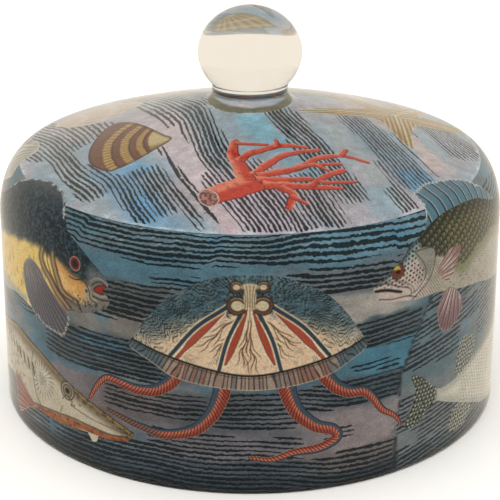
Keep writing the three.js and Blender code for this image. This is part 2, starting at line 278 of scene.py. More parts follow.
class Ink:
    """The colours of a drawing's points while it is painted, and the tools to paint with."""

    def __init__(self, p, base, other=None, amount=0.0):
        self.p = p
        self.colour = np.tile(rgb(base), (len(p), 1))
        if other:
            self.wash(other, amount)

    def wash(self, tint, amount):
        """Lay a tint, or another ink, over the points by an amount from 0 to 1."""
        over = tint.colour if isinstance(tint, Ink) else rgb(tint)
        amount = np.clip(amount, 0, 1)[:, None]
        self.colour = self.colour * (1 - amount) + over * amount

    def line(self, points, width, tint, strength=1.0, closed=False, soft=0.35):
        """A pen or brush line through points."""
        distance, _, _ = to_line(self.p, stroke(points, closed))
        self.wash(tint, strength * step(distance, width / 2 + soft, width / 2 - soft))

    def dot(self, centre, rx, ry, tint, strength=1.0):
        """An oval with a soft edge."""
        distance = np.hypot((self.p[:, 0] - centre[0]) / rx, (self.p[:, 1] - centre[1]) / ry)
        soft = 0.35 / min(rx, ry)
        self.wash(tint, strength * step(distance, 1 + soft, 1 - soft))

    def eye(self, centre, r, ring, iris):
        """A ringed eye with its pupil and glint."""
        for size, tint in ((1.28, "1e1916"), (1.14, ring), (1, iris), (0.42, "17120f")):
            self.dot(centre, r * size, r * size, tint)
        self.dot((centre[0] + r * 0.3, centre[1] + r * 0.35), 0.45, 0.45, "efe6dc", 0.9)

    def within(self, points):
        """1 at the drawing's points inside a smooth closed line, 0 outside it."""
        return inside(self.p, smooth(points)).astype(float)

    def hatched(self, count=0.0, strength=0.0):
        """What a painter gives: colours, and the count and strength of the engraved lines."""
        size = len(self.p)
        return self.colour, np.broadcast_to(count, size), np.broadcast_to(strength, size)


# ---------------------------------------------------------------- node tools


class Tree:
    """A material's node tree, with a short way to add each kind of node."""

    def __init__(self, name):
        self.material = bpy.data.materials.new(name)
        self.material.use_nodes = True
        self.nodes = self.material.node_tree.nodes
        self.links = self.material.node_tree.links
        self.shader = self.nodes["Principled BSDF"]

    def add(self, kind, inputs=None, **settings):
        """Add a node with its inputs fed and its settings made."""
        node = self.nodes.new("ShaderNode" + kind)
        for key, value in settings.items():
            setattr(node, key, value)
        for key, value in (inputs or {}).items():
            self.feed(node.inputs[key], value)
        return node

    def feed(self, socket, value):
        """Link a socket to another one, or give it a value."""
        if isinstance(value, bpy.types.NodeSocket):
            self.links.new(value, socket)
        else:
            socket.default_value = value

    def shade(self, **values):
        """Feed the shader's sockets, named with _ for each space."""
        for key, value in values.items():
            self.feed(self.shader.inputs[key.replace("_", " ")], value)

    def math(self, operation, a, b=0.0):
        """The result of an operation on two values."""
        return self.add("Math", {0: a, 1: b}, operation=operation).outputs[0]

    def times(self, a, b):
        return self.math("MULTIPLY", a, b)

    def plus(self, a, b):
        return self.math("ADD", a, b)

    def minus(self, a, b):
        return self.math("SUBTRACT", a, b)

    def off_line(self, value):
        """How far a value is from halfway between whole numbers."""
        return self.math("ABSOLUTE", self.minus(self.math("FRACT", value), 0.5))

    def ramp(self, value, low, high, to_low=0.0, to_high=1.0):
        """A smooth step between two ends."""
        ends = {"From Min": low, "From Max": high, "To Min": to_low, "To Max": to_high}
        node = self.add("MapRange", {"Value": value, **ends}, interpolation_type="SMOOTHSTEP")
        return node.outputs["Result"]

    def mix(self, a, b, amount, blend_type="MIX"):
        """Two colours mixed by an amount."""
        inputs = {"Factor": amount, 6: a, 7: b}
        return self.add("Mix", inputs, data_type="RGBA", blend_type=blend_type).outputs[2]

    def attribute(self, name, output="Vector"):
        """What the mesh keeps under a name."""
        return self.add("Attribute", attribute_name=name).outputs[output]

    def split(self, vector):
        """The three parts of a vector."""
        return self.add("SeparateXYZ", {0: vector}).outputs

    def noise(self, vector, scale, detail=2.0, roughness=0.5):
        """Noise over a vector, 0 to 1."""
        inputs = {"Vector": vector, "Scale": scale, "Detail": detail, "Roughness": roughness}
        return self.add("TexNoise", inputs).outputs["Fac"]

    def bump(self, height, strength, distance):
        """A normal that follows small heights."""
        node = self.add("Bump", {"Strength": strength, "Distance": distance, "Height": height})
        return node.outputs[0]


def paper_finish(tree, colour, chart):
    """Printed-paper grain: a fine mottling of the colour, and a fine bump."""
    grain, fibre = tree.noise(chart, 1.1, 3.0, 0.85), tree.noise(chart, 0.3, 3.0)
    shade = tree.plus(tree.times(grain, 1.7), tree.times(fibre, 0.34))
    shade = tree.plus(shade, -0.02)
    tone = tree.add("CombineColor", {"Red": shade, "Green": shade, "Blue": shade}).outputs[0]
    tree.shade(Base_Color=tree.mix(colour, tone, 1.0, "MULTIPLY"), Normal=tree.bump(grain, 0.25, 0.00005))
    tree.shade(Roughness=0.55, Specular_IOR_Level=0.2)


def print_material(name):
    """The engraved sea: "line" holds each point's line number, place along the line in mm, and weight."""
    tree = Tree(name)
    count, place, weight = tree.split(tree.attribute("line"))
    chart = tree.attribute("chart")
    phase = tree.plus(count, tree.times(tree.minus(tree.noise(chart, 0.42), 0.5), 0.75))
    number = tree.math("FLOOR", phase)

    def varied(per_mm, per_line, detail):
        """Noise along each line, different from line to line."""
        spot = tree.add("CombineXYZ", {"X": tree.times(place, per_mm), "Y": tree.times(number, per_line)})
        return tree.noise(spot.outputs[0], 1.0, detail)

    breaks, wobble, stout = varied(0.055, 3.77, 1.0), varied(0.8, 7.3, 3.0), varied(0.03, 1.31, 1.0)
    swell = tree.minus(weight, tree.times(breaks, 0.85))
    widest = tree.plus(0.1, tree.times(weight, 0.125))
    half = tree.math("MINIMUM", tree.times(swell, 0.8), widest)
    half = tree.times(half, tree.plus(0.45, tree.times(wobble, 1.1)))
    half = tree.times(half, tree.ramp(stout, 0.3, 0.7, 0.62, 1.28))
    ink = tree.ramp(tree.minus(tree.off_line(phase), half), -0.04, 0.04, 1.0, 0.0)
    ink = tree.times(tree.times(ink, tree.ramp(half, 0.0, 0.05)), 0.96)
    paper_finish(tree, tree.mix(tree.attribute("wash", "Color"), shader_colour("0d1a20"), ink), chart)
    return tree.material


def figure_material(name):
    """A hand-coloured engraving: "paint" is its colour, "hatch" the count and strength of its lines."""
    tree = Tree(name)
    chart = tree.attribute("chart")
    hatch = tree.split(tree.attribute("hatch"))
    width = tree.times(tree.noise(chart, 0.9), 0.46)
    line = tree.ramp(tree.minus(tree.off_line(hatch[0]), width), -0.09, 0.09, 1.0, 0.0)
    colour = tree.mix(tree.attribute("paint", "Color"), shader_colour("201c1a"), tree.times(line, hatch[1]))
    paper_finish(tree, colour, chart)
    return tree.material


def backing_material():
    """Pale handmade paper."""
    tree = Tree("backing_paper")
    place = tree.add("TexCoord").outputs["Object"]
    blotch, fibre = tree.noise(place, 22.0, 4.0), tree.noise(place, 900.0, 3.0)
    colour = tree.mix(shader_colour("d9cfb8"), shader_colour("c9bc9f"), blotch)
    colour = tree.mix(colour, shader_colour("efe8d8"), tree.ramp(fibre, 0.45, 0.75, 0.0, 0.5))
    tree.shade(Base_Color=colour, Roughness=tree.ramp(blotch, 0.3, 0.7, 0.45, 0.6))
    tree.shade(Normal=tree.bump(fibre, 0.3, 0.0002))
    return tree.material


def glass_material():
    """Clear glass with a faint straw tint."""
    tree = Tree("clear_glass")
    tree.shade(Base_Color=(0.985, 0.98, 0.96, 1), Roughness=0.0, IOR=1.5, Transmission_Weight=1.0)
    return tree.material


# ---------------------------------------------------------------- meshes


def new_object(name, vertices, faces, material, replaced):
    """A smooth-shaded piece that rides the root and replaces CAD nodes."""
    mesh = bpy.data.meshes.new(name)
    mesh.from_pydata([tuple(v) for v in vertices], [], [tuple(f) for f in faces])
    mesh.polygons.foreach_set("use_smooth", [True] * len(mesh.polygons))
    mesh.materials.append(material)
    mesh.update()
    obj = bpy.data.objects.new(name, mesh)
    bpy.context.scene.collection.objects.link(obj)
    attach(obj, "root")
    for node in replaced:
        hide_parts(node)
    return obj


def set_vectors(obj, name, values):
    """A vector for each point of a mesh; columns that values lacks are 0."""
    layer = obj.data.attributes.new(name, "FLOAT_VECTOR", "POINT")
    full = np.zeros((len(values), 3), np.float32)
    full[:, : values.shape[1]] = values
    layer.data.foreach_set("vector", full.ravel())


def set_colours(obj, name, values):
    """A colour for each point of a mesh."""
    layer = obj.data.attributes.new(name, "FLOAT_COLOR", "POINT")
    full = np.ones((len(values), 4), np.float32)
    full[:, :3] = linear(values)
    layer.data.foreach_set("color", full.ravel())


def grid_faces(rows, columns, wrap=False):
    """Quads of a grid of points; with wrap its last column joins its first."""
    last = columns if wrap else columns - 1
    i, j = np.meshgrid(np.arange(rows - 1), np.arange(last), indexing="ij")
    k = (j + 1) % columns
    corners = [i * columns + j, i * columns + k, (i + 1) * columns + k, (i + 1) * columns + j]
    return np.stack(corners, -1).reshape(-1, 4)


def turned(name, profile, segments, material, replaced):
    """A body of revolution from a profile in mm: from axis to axis, or a closed ring."""
    r, z = profile.T
    angle = np.linspace(0, 2 * np.pi, segments, endpoint=False)
    x, y = np.outer(r, np.sin(angle)), -np.outer(r, np.cos(angle))
    vertices = np.stack([x, y, np.outer(z, np.ones(segments))], -1).reshape(-1, 3) * MM
    tidy(new_object(name, vertices, grid_faces(len(profile), segments, True), material, replaced))


def tidy(obj):
    """Join points that fall together, drop faces with no area, and turn every face outwards."""
    work = bmesh.new()
    work.from_mesh(obj.data)
    bmesh.ops.remove_doubles(work, verts=work.verts, dist=1e-7)
    bmesh.ops.dissolve_degenerate(work, edges=work.edges, dist=1e-8)
    bmesh.ops.recalc_face_normals(work, faces=work.faces)
    work.to_mesh(obj.data)
    work.free()


# ---------------------------------------------------------------- glass


# The rim's corners are rounded below this height.
ROUNDED = 1.2


def glass_body():
    """Dome, neck and knob as the one fused piece of glass that they are."""
    inner = (LINE + INWARDS * GLASS)[::-1]
    inner[0, 0] = 0
    inner = inner[inner[:, 1] > ROUNDED]
    inner_rim = [(inner[-1, 0] + r, z) for r, z in ((0.05, 0.7), (0.4, 0.2), (1, 0))]
    outer_rim = [(RIM_RADIUS - r, z) for r, z in ((1, 0), (0.4, 0.2), (0.07, 0.7))]
    outer = LINE[(LINE[:, 1] > ROUNDED) & (LINE[:, 0] > NECK_FOOT[0])]
    t = np.linspace(0, 1, 25)[:, None]
    flare = curve(np.array(NECK_FOOT), np.array((19.6, 149.9)), np.array((NECK_RADIUS, 153.6)), t)
    neck = [(18.72, 154.8), (18.65, 155.8), (18.7, 156.6)]
    latitude = np.linspace(-np.arccos(NECK_RADIUS / BALL_RADIUS) + 0.02, np.pi / 2, 72)
    ball = np.c_[BALL_RADIUS * np.cos(latitude), BALL_MIDDLE + BALL_HALF_HEIGHT * np.sin(latitude)]
    ball[-1, 0] = 0
    return np.vstack([inner, inner_rim, outer_rim, outer, flare, neck, ball])


GLASS_NODES = ["glass_dome", "glass_knob"]
GLASS_SIDES = 224
turned("glass_dome_and_knob", glass_body(), GLASS_SIDES, glass_material(), GLASS_NODES)

# ---------------------------------------------------------------- the sea print

# Where the sheets' edges are, in degrees from the front.
WALL_SEAMS = (35, 107, 179, 251, 323, 395)
CROWN_SEAMS = (75, 180, 285, 435)
# This wall sheet crosses the back, where x jumps, so all of its x run on past the left.
BACK_SHEET = 3
# Heights up the glass of the sheets' lower and upper edges; they overlap a little at the seam.
WALL_FROM, WALL_TO = 0.8, SEAM_U + 0.6
CROWN_FROM, CROWN_TO = SEAM_U - 0.4, UP_GLASS[-1] - 0.05
# Steps between a sheet's points, degrees round and millimetres up.
WALL_STEP, CROWN_STEP = (0.8, 0.7), (0.7, 0.8)
COARSE = 1.0
# The crown's rows of points are counted for this many millimetres.
CROWN_LENGTH = 100
PRINT = print_material("sea_print")
MAUVE, GREY, TEAL, BRIGHT = "807a7e", "737b81", "4e7282", "4d89ad"
# Millimetres between the engraved strokes.
WALL_SPACING, CROWN_SPACING = 2.35, 2.25


def soft_box(x, y, cx, cy, rx, ry, edge=0.35):
    """1 well inside a box, falling to 0 at its sides."""
    ax = 1 - np.abs(x - cx) / rx
    ay = 1 - np.abs(y - cy) / ry
    return np.clip(ax / edge, 0, 1) * np.clip(ay / (edge * 0.5), 0, 1)


def heaviest(groups, x, y, edge=0.35):
    """The greatest weight that groups of strokes give to places."""
    weight = np.zeros_like(x)
    for *box, most in groups:
        weight = np.maximum(weight, most * soft_box(x, y, *box, edge))
    return weight


def mottle(p):
    """Uneven take-up of the tint by the paper."""
    return 1.07 + 0.22 * (cloud(p, 3.1, 2.6, 51)[:, None] - 0.5) + 0.2 * (cloud(p, 11, 8, 53)[:, None] - 0.5)


# Groups of strokes on the front of the wall: x, u, half-width, half-height, weight.
WALL_GROUPS = (
    (-5, 118, 130, 9.5, 1.45), (-40, 109, 26, 3, 0.85), (-58, 88, 23, 10, 1.6), (-28, 99, 20, 5, 1.2),
    (46, 101, 36, 7, 1.35), (64, 73, 24, 7.5, 1.5), (60, 57, 17, 3, 0.75), (58, 46, 24, 7, 1.4),
    (-74, 60, 40, 10.5, 1.8), (-45, 41, 30, 6.5, 1.25), (-28, 24, 24, 6, 1.25), (2, 40, 22, 10, 1.4),
    (-2, 21, 30, 7, 1.2), (34, 45, 14, 7, 1.5), (41, 26, 9, 3.5, 1.1), (0, 9, 120, 6.5, 1.45),
    (-64, 12, 46, 9, 1.6), (0, 3, 400, 4, 1.6), (62, 14, 26, 4, 1.1),
)
# Groups on the sheet at the right, whose strokes climb.
RIGHT_GROUPS = (
    (98, 84, 34, 9, 1.7), (104, 68, 40, 6, 1.15), (92, 55, 26, 7, 1.45), (84, 27, 15, 10, 1.25),
    (116, 20, 40, 10, 1.0), (100, 5, 70, 6, 1.4), (150, 104, 60, 16, 1.3), (176, 64, 50, 18, 1.2),
)
# Washes on the front of the wall: x, u, half-width, half-height, colour.
# The rows at u 9 and u 1 darken the wall towards the rim, the last of them all the way round.
WALL_WASHES = (
    (0, 119, 130, 13, "64808d"), (60, 119, 50, 10, "6c97ac"), (-24, 105, 84, 7, "54798a"),
    (-58, 89, 34, 11, "51585a"), (-66, 75, 40, 8, "827c75"), (-62, 61, 60, 11, "4c5860"),
    (-52, 39, 44, 10, "6e6466"), (-14, 38, 30, 12, "50555c"), (-10, 21, 70, 11, "737077"),
    (28, 38, 30, 16, "646770"), (52, 24, 40, 16, "95898a"), (54, 88, 34, 9, "b3a89f"),
    (48, 101, 50, 8, "6a7278"), (64, 73, 28, 8, "525c62"), (66, 60, 26, 8, "4d8298"),
    (58, 46, 26, 7, "46555f"), (0, 9, 140, 8, "48535f"), (60, 12, 40, 8, "6f6968"), (0, 1, 420, 7, "37424d"),
)
# Where the sheet at the right overlaps the front one: x by height up the glass, and where that sheet ends.
OVERLAP = ((0, 16, 24, 36, 48, 60, 64, 76, 90, 128), (71, 71, 70, 73, 73, 79, 80, 87, 95, 106))
RIGHT_SHEET_END = 215
# The front's groups of strokes reach this far to each side, and a wider wash goes right round the wall.
FRONT_HALF = 110
ALL_ROUND = 200


def wall_lines(p, right_sheet):
    """Line number and weight of the strokes that run round the wall."""
    x, u = p.T
    tilt = np.where(right_sheet, 0.16, 0.0)
    drift = 3.2 * (cloud(p, 46, 40, 3) - 0.5) * 2
    kinks = np.zeros_like(x)
    for k, cx in enumerate(np.arange(-380, 400, 37)):
        place = cx + 9 * np.sin(k * 2.3) + (u - 110) * 0.35
        kinks += 1.5 * np.sin(k * 1.7 + 0.6) * step(x, place - 2.2, place + 2.2)
    kinks *= step(u, 92, 110)
    level = u - tilt * x + drift + kinks
    spread = 40 - 0.122 * np.clip(level - 117, -12, 12) * step(x, 0, 45)
    number = level / WALL_SPACING + spread
    centre = (np.floor(number) + 0.5 - spread) * WALL_SPACING - drift - kinks + tilt * x
    front = heaviest(WALL_GROUPS, x, centre)
    wild = step(fractal(x / 60 + 9, centre / 15 + 4, 21, 2), 0.42, 0.6)
    sides = np.maximum(1.35 * wild, front * (u < 10))
    sides = np.where(right_sheet, heaviest(RIGHT_GROUPS, x, centre), sides)
    return number, np.where((np.abs(x) < FRONT_HALF) & ~right_sheet, front, sides)


def wall_wash(p, past_edge, right_sheet):
    """The wall's washes of colour under its strokes, and a painted shadow along the overlapping sheet's
    edge.
    """
    x, u = p.T
    ragged = 6 * (cloud(p, 16, 9, 31) - 0.5)
    ink = Ink(p, GREY, MAUVE, patches(p, 50, 22, 41, 0.4, 0.62))
    ink.wash(TEAL, step(fractal(x / 45 + 7, u / 17, 43), 0.5, 0.62))
    for *box, tint in WALL_WASHES:
        sheets = 1.0 if box[2] > ALL_ROUND else ~right_sheet
        ink.wash(tint, 0.9 * soft_box(x + ragged * 2, u + ragged, *box, 0.55) * sheets)
    ink.wash("747d80", 0.6 * right_sheet)
    ink.wash(BRIGHT, 0.4 * step(fractal(x / 24 + 3, u / 13, 45), 0.62, 0.74) * (u > 50))
    # Painted shadow: a dark line along the edge where the sheet at the right overlaps the front one.
    ink.wash("1c2429", 0.75 * step(np.abs(past_edge), 0.8, 0.2) * (u < 100))
    crackle = step(np.abs(cloud(p, 9, 9, 47) - 0.5), 0.02, 0.006)
    ink.wash("c3ced2", 0.6 * crackle * step(u, 112, 117) * step(np.abs(x + 45), 42, 30))
    return ink.colour * mottle(p)


def wall_fields(p):
    """Line number, place along, weight and wash colour of the wall print."""
    x, u = p.T
    past_edge = x - (np.interp(u, *OVERLAP) + 1.3 * (noise(u / 2.3, u * 0, 33) - 0.5))
    right_sheet = (past_edge > 0) & (x < RIGHT_SHEET_END)
    number, weight = wall_lines(p, right_sheet)
    return number, x, weight, wall_wash(p, past_edge, right_sheet)


# The crown's strokes run front-left to back-right. Groups: across, along, half-width, half-length, weight.
CROWN_GROUPS = (
    (-98, 0, 8, 42, 1.45), (-88, 24, 4.5, 22, 1.2), (-86, 48, 6.5, 26, 1.35), (-75, 50, 6.5, 24, 1.6),
    (-67, 60, 3.5, 32, 1.2), (-59.5, 53, 1.8, 38, 2.5), (-42, 8, 13, 66, 1.6), (-37, 86, 20, 36, 1.6),
    (-14, 96, 9, 26, 1.5), (3, 58, 11, 46, 1.55), (0, 32, 7, 16, 2.2), (26, 92, 7, 24, 1.35),
    (41, 60, 12, 40, 1.5), (88, 44, 15, 28, 1.5), (62, 34, 8, 18, 1.2), (54, 66, 2, 24, 1.6),
)
# Places with no strokes: across, along, half-width, half-length.
CROWN_CLEAR = ((-13, 31, 9, 18), (-56.5, 86, 3.2, 13), (22, 60, 6.5, 36), (62, 66, 7, 22), (-52, 28, 5, 26))
# The crown's washes: across, along, half-width, half-length, colour.
CROWN_WASHES = (
    (-98, 0, 12, 70, "aab5bd"), (-84, 48, 14, 38, "84adcb"), (-38, 5, 16, 72, "a6b7c3"),
    (-53, 40, 13, 70, "dccdd3"), (-37, 88, 24, 34, "c9bfcf"), (2, 52, 11, 44, "a3adb8"),
    (-13, 31, 11, 20, "8cc4d8"), (22, 66, 9, 46, "a9b3b8"), (41, 60, 13, 42, "8199ad"),
    (62, 64, 8, 26, "cdbdba"), (88, 44, 16, 30, "a0a9b6"), (-57, 86, 4, 16, "d9c5ca"),
    (-83, 60, 8, 12, "74a8cf"), (-76, 22, 8, 12, "7fadcf"), (43, 92, 10, 12, "66a8d0"),
    (-8, 66, 8, 20, "86aec2"), (14, 100, 12, 14, "9fb6c4"),
)


def crown_axes(p):
    """Places across and along the crown's strokes, which bend a little."""
    x, y = p.T
    lean = np.radians(62)
    along = x * np.cos(lean) - y * np.sin(lean)
    bend = 5 * (cloud(p, 70, 70, 61) - 0.5)
    across = x * np.sin(lean) + y * np.cos(lean) + bend + 0.05 * (along - 50)
    across = across - 11 * step(along, 55, -45) * np.exp(-(((across + 32) / 30) ** 2))
    return across, along


def crown_lines(p, across, along):
    """Line number and weight of the crown's strokes."""
    ripple = 1.1 * np.sin(along / 13 + across / 21) + 2.6 * (cloud(p, 22, 22, 63) - 0.5)
    number = (across + ripple) / CROWN_SPACING + 80
    centre = (np.floor(number) + 0.5 - 80) * CROWN_SPACING - ripple
    weight = heaviest(CROWN_GROUPS, centre, along, 0.5)
    for gap in CROWN_CLEAR:
        weight = weight * (1 - step(soft_box(centre, along, *gap, 0.5), 0.1, 0.5))
    wild = 1.3 * step(fractal(along / 60 + 5, centre / 15, 67, 2), 0.42, 0.58)
    return number, np.maximum(weight, wild * step(along, 4, -14))


def crown_fields(p):
    """Line number, place along, weight and wash colour of the crown print, with a painted shadow ring under
    the neck.
    """
    x, y = p.T
    across, along = crown_axes(p)
    number, weight = crown_lines(p, across, along)
    ragged = 7 * (cloud(p, 15, 15, 65) - 0.5)
    ink = Ink(p, "b5b2bb", "9cb0be", patches(p, 30, 30, 69, 0.42, 0.6))
    for *box, tint in CROWN_WASHES:
        ink.wash(tint, 0.9 * soft_box(across + ragged, along + ragged * 2, *box, 0.6))
    radius = np.hypot(x, y)
    torn = step(radius + 2 * noise(x / 3, y / 3, 75), CROWN_EDGE - 0.1, CROWN_EDGE + 0.5)
    ink.wash("d6dde0", 0.6 * torn * patches(p, 9, 9, 73, 0.5, 0.64))
    radius = radius + 2.4 * (cloud(p, 5, 5, 71) - 0.5)
    # Painted shade: an olive-brown ring under the knob's neck stands in for the neck's shadow on the print,
    # and no strokes are drawn in it.
    neck_shade = step(radius, 19.8, 19.2) * step(radius, 11, 14)
    ink.wash("746d54", 0.9 * neck_shade)
    ink.wash("c9d6da", 0.7 * step(np.abs(radius - 20.1), 0.7, 0.2))
    return number, along, weight * (1 - neck_shade) * (1 - torn), ink.colour * mottle(p)


def sheet_points(start, end, columns, low, high, rows):
    """Angles and heights up the glass of a sheet's points, row by row."""
    a, u = np.meshgrid(np.radians(np.linspace(start, end, columns)), np.linspace(low, high, rows))
    return a.ravel(), u.ravel()


def add_print(name, vertices, faces, chart, fields):
    """A sheet of the sea print with the fields that its material reads."""
    obj = new_object(name, vertices, faces, PRINT, [name])
    number, along, weight, colour = fields(chart)
    set_vectors(obj, "line", np.c_[number, along, weight])
    set_vectors(obj, "chart", chart)
    set_colours(obj, "wash", colour)


for i, (start, end) in enumerate(zip(WALL_SEAMS, WALL_SEAMS[1:]), 1):
    columns = int((end - start) / COARSE / WALL_STEP[0]) + 2
    rows = int(SEAM_U / COARSE / WALL_STEP[1]) + 2
    a, u = sheet_points(start, end, columns, WALL_FROM, WALL_TO, rows)
    x = ((a + np.pi) % (2 * np.pi) - np.pi) * WALL_RADIUS
    if i == BACK_SHEET:
        x = np.where(x < 0, x, x - 2 * np.pi * WALL_RADIUS)
    vertices = on_glass(a, u, SHEET_DEPTH)
    add_print(f"wall_print_{i}", vertices, grid_faces(rows, columns), np.c_[x, u], wall_fields)

for i, (start, end) in enumerate(zip(CROWN_SEAMS, CROWN_SEAMS[1:]), 1):
    columns = int((end - start) / COARSE / CROWN_STEP[0]) + 2
    rows = int(CROWN_LENGTH / COARSE / CROWN_STEP[1])
    a, u = sheet_points(start, end, columns, CROWN_FROM, CROWN_TO, rows)
    r = np.interp(u, UP_GLASS, MIDDLE[:, 0])
    vertices = on_glass(a, u, CROWN_SHEET_DEPTH)
    plan = np.c_[r * np.sin(a), -r * np.cos(a)]
    add_print(f"crown_print_{i}", vertices, grid_faces(rows, columns), plan, crown_fields)

# ---------------------------------------------------------------- the backing


def backing_line(low, high, depth):
    """Points behind the glass between two heights up it, radius and height."""
    numbers = np.arange(len(LINE))
    places = np.interp(np.linspace(low, high, 60), UP_GLASS, numbers)
    r, z = (LINE + INWARDS * depth).T
    return np.c_[np.interp(places, numbers, r), np.interp(places, numbers, z)]


def add_backing(name, profile):
    """A backing's body, all the way round."""
    turned(name, profile, BACKING_SIDES, BACKING, [name])


BACKING = backing_material()
BACKING_SIDES = 96
# Heights up the glass: where the backings start, and the gap between them.
BACKING_FOOT, BACKING_GAP = 1.4, 0.2
front, back = (backing_line(BACKING_FOOT, SEAM_U, depth) for depth in BACKING_DEPTHS)
add_backing("wall_backing", np.vstack([front, back[::-1], front[:1]]))
front, back = (backing_line(SEAM_U + BACKING_GAP, UP_GLASS[-1], depth) for depth in BACKING_DEPTHS)
front[-1, 0] = back[-1, 0] = 0
add_backing("crown_backing", np.vstack([front[::-1], back]))

# ---------------------------------------------------------------- cut-outs


# Points inside an outline stand in triangles: rows are this share of the pitch apart, and points keep the
# other share away from the edge.
ROW_SHARE, EDGE_SHARE = 0.866, 0.45
# A part's lift puts it under or over the other parts of its figure, in millimetres.
UNDER, OVER = -0.02, 0.02


def filled(outline, pitch):
    """A mesh inside an outline: its points, its faces, and the points' distances from the edge."""
    after = np.roll(outline, -1, axis=0)
    if np.sum(outline[:, 0] * after[:, 1] - outline[:, 1] * after[:, 0]) < 0:
        outline = outline[::-1]
    low, high = outline.min(0), outline.max(0)
    row_pitch = pitch * ROW_SHARE
    x, y = np.meshgrid(np.arange(low[0], high[0], pitch), np.arange(low[1], high[1], row_pitch))
    x[1::2] += pitch / 2
    p = np.c_[x.ravel(), y.ravel()]
    p = p[inside(p, outline)]
    edge, _, _ = to_line(p, np.vstack([outline, outline[:1]]))
    clear = edge > pitch * EDGE_SHARE
    vertices = [Vector(v) for v in np.vstack([outline, p[clear]])]
    done = delaunay_2d_cdt(vertices, [], [list(range(len(outline)))], 1, 1e-5)
    origin = [o[0] if o else 0 for o in done[3]]
    return np.array([tuple(v) for v in done[0]]), done[2], np.r_[np.zeros(len(outline)), edge[clear]][origin]


class Cutout:
    """One figure cut from paper: parts that each have an outline and a painter."""

    def __init__(self, name, place, pitch=0.45):
        self.name, self.place = name, place
        self.pitch = pitch * 1.0
        self.points, self.faces, self.paint, self.hatch, self.depth = [], [], [], [], []
        self.count = 0

    def part(self, outline, painter, lift=0.0):
        """Add a part; painter(points, distances from the edge) gives what Ink.hatched does."""
        points, faces, edge = filled(outline, self.pitch)
        colour, count, strength = painter(points, edge)
        self.points.append(points)
        self.faces += [tuple(i + self.count for i in face) for face in faces]
        self.paint.append(colour)
        self.hatch.append(np.c_[count, strength])
        self.depth.append(np.full(len(points), FIGURE_DEPTH - lift))
        self.count += len(points)
        return self

    def make(self):
        """Join the parts into the figure's one piece."""
        p = np.vstack(self.points)
        position = self.place(p, np.concatenate(self.depth))
        obj = new_object(self.name, position, self.faces, FIGURE, [self.name])
        set_vectors(obj, "chart", p)
        set_vectors(obj, "hatch", np.vstack(self.hatch))
        set_colours(obj, "paint", np.vstack(self.paint))


FIGURE = figure_material("cut_out_engraving")


def ribbon(line, start, end, knobs=0.0):
    """The outline of a strip along a line that narrows from start to end, with a knobbly edge."""
    centre = smooth(line, False)
    along, across = directions(centre)
    half = np.linspace(start, end, len(centre))[:, None] / 2
    s = np.arange(len(centre))[:, None] * OUTLINE_PITCH
    left = half * (1 + knobs * (noise(s / 2.6, s * 0, 31) - 0.5))
    right = half * (1 + knobs * (noise(s / 2.6 + 9, s * 0, 32) - 0.5))
    tip = centre[-1:] + along[-1:] * half[-1:] * 0.8
    return np.vstack([centre + across * left, tip, (centre - across * right)[::-1]])


def ragged_edge(outline, depth, length, from_point, to_point, seed=1):
    """Small teeth cut into the stretch of an outline between two places."""
    ends = [np.argmin(np.hypot(*(outline - point).T)) for point in (from_point, to_point)]
    _, left = directions(outline)
    s = np.arange(len(outline)) * OUTLINE_PITCH
    teeth = np.abs((s / length) % 1 - 0.5) * 2 * (0.5 + 0.8 * noise(s / 3, s * 0, seed))
    inwards = np.sign(np.cross(outline[1] - outline[0], outline.mean(0) - outline[0]))
    line = outline.copy()
    cut = slice(min(ends), max(ends))
    line[cut] += (left * (teeth * depth)[:, None])[cut] * inwards
    return line


def fin(root, colours, rays, edge_tint=None, strength=0.75, length=28):
    """A painter for a fin whose pale rays spread from its root and fade out over a length."""

    def painter(p, edge):
        angle, reach = polar(p, root)
        ink = Ink(p, colours[0], colours[1], step(reach, 2, 22))
        pale = stripes(angle * rays, 0.3, 0.12)
        ink.wash(colours[2], 0.95 * pale * step(reach, 1, 4) * step(reach, length, length * 0.55))
        ink.wash(colours[1], 0.5 * step(fractal(angle * 9, reach / 7, 8), 0.5, 0.65))
        if edge_tint:
            ink.wash(edge_tint, step(edge, 0.9, 0.3))
        return ink.hatched(angle * rays * 2 + 0.4, strength * step(reach, 1.0, 5.0))

    return painter


def add_figure(name, place, outline, painter, pitch=0.45):
    """A figure cut from paper as one part."""
    Cutout(name, place, pitch).part(smooth(outline), painter).make()


# The jellyfish.
JELLY_BELL = [
    (0, 105.5), (12, 105), (24, 101), (37, 93), (47, 81), (53, 71.5), (54, 67), (45, 61), (35, 56),
    (19, 52.5), (0, 51), (-19, 52.5), (-35, 55.5), (-45, 61), (-56, 67), (-55, 71), (-48, 81), (-37, 93),
    (-24, 101), (-12, 105),
]
JELLY_HEM = [(-55, 71), (-38, 65.5), (-15, 60), (0, 58.2), (15, 60), (38, 65.5), (53, 71.5)]
JELLY_CROWN = (0.0, 91.0)
# Degrees in a radian, near enough for the widths of the bell's lines.
PER_RADIAN = 57
# Bands of the bell's right half: tint, line, width. The left half mirrors them.
JELLY_BANDS = (
    ("b04a33", [(2, 88), (5, 79), (11, 64)], 2.7), ("2a4459", [(4, 88), (10, 75), (14, 60)], 1.2),
    ("b84f38", [(12, 88), (23, 77), (33, 65)], 3.0), ("2a4459", [(10, 91), (24, 80.5), (36, 66)], 1.3),
)
# Loops of the knot: centre, half-width, half-height, thickness.
JELLY_RINGS = (((5.6, 91.6), 3.9, 3.5, 1.4), ((5.9, 100.2), 2.5, 2.2, 0.9))
# Nets of lines over the blue: degrees between lines, tint, angle they start at, strength.
JELLY_NETS = ((2.9, "1a262c", 56, 0.9), (2.3, "a3b2b0", 72, 0.45), (1.9, "131c22", 64, 0.75))
# The stalk's ovals: centre, half-width, half-height.
JELLY_STALK = (((0, 100.4), 4.2, 1.6), ((0, 95.5), 2.8, 6.0), ((0, 91.2), 4.2, 1.5))


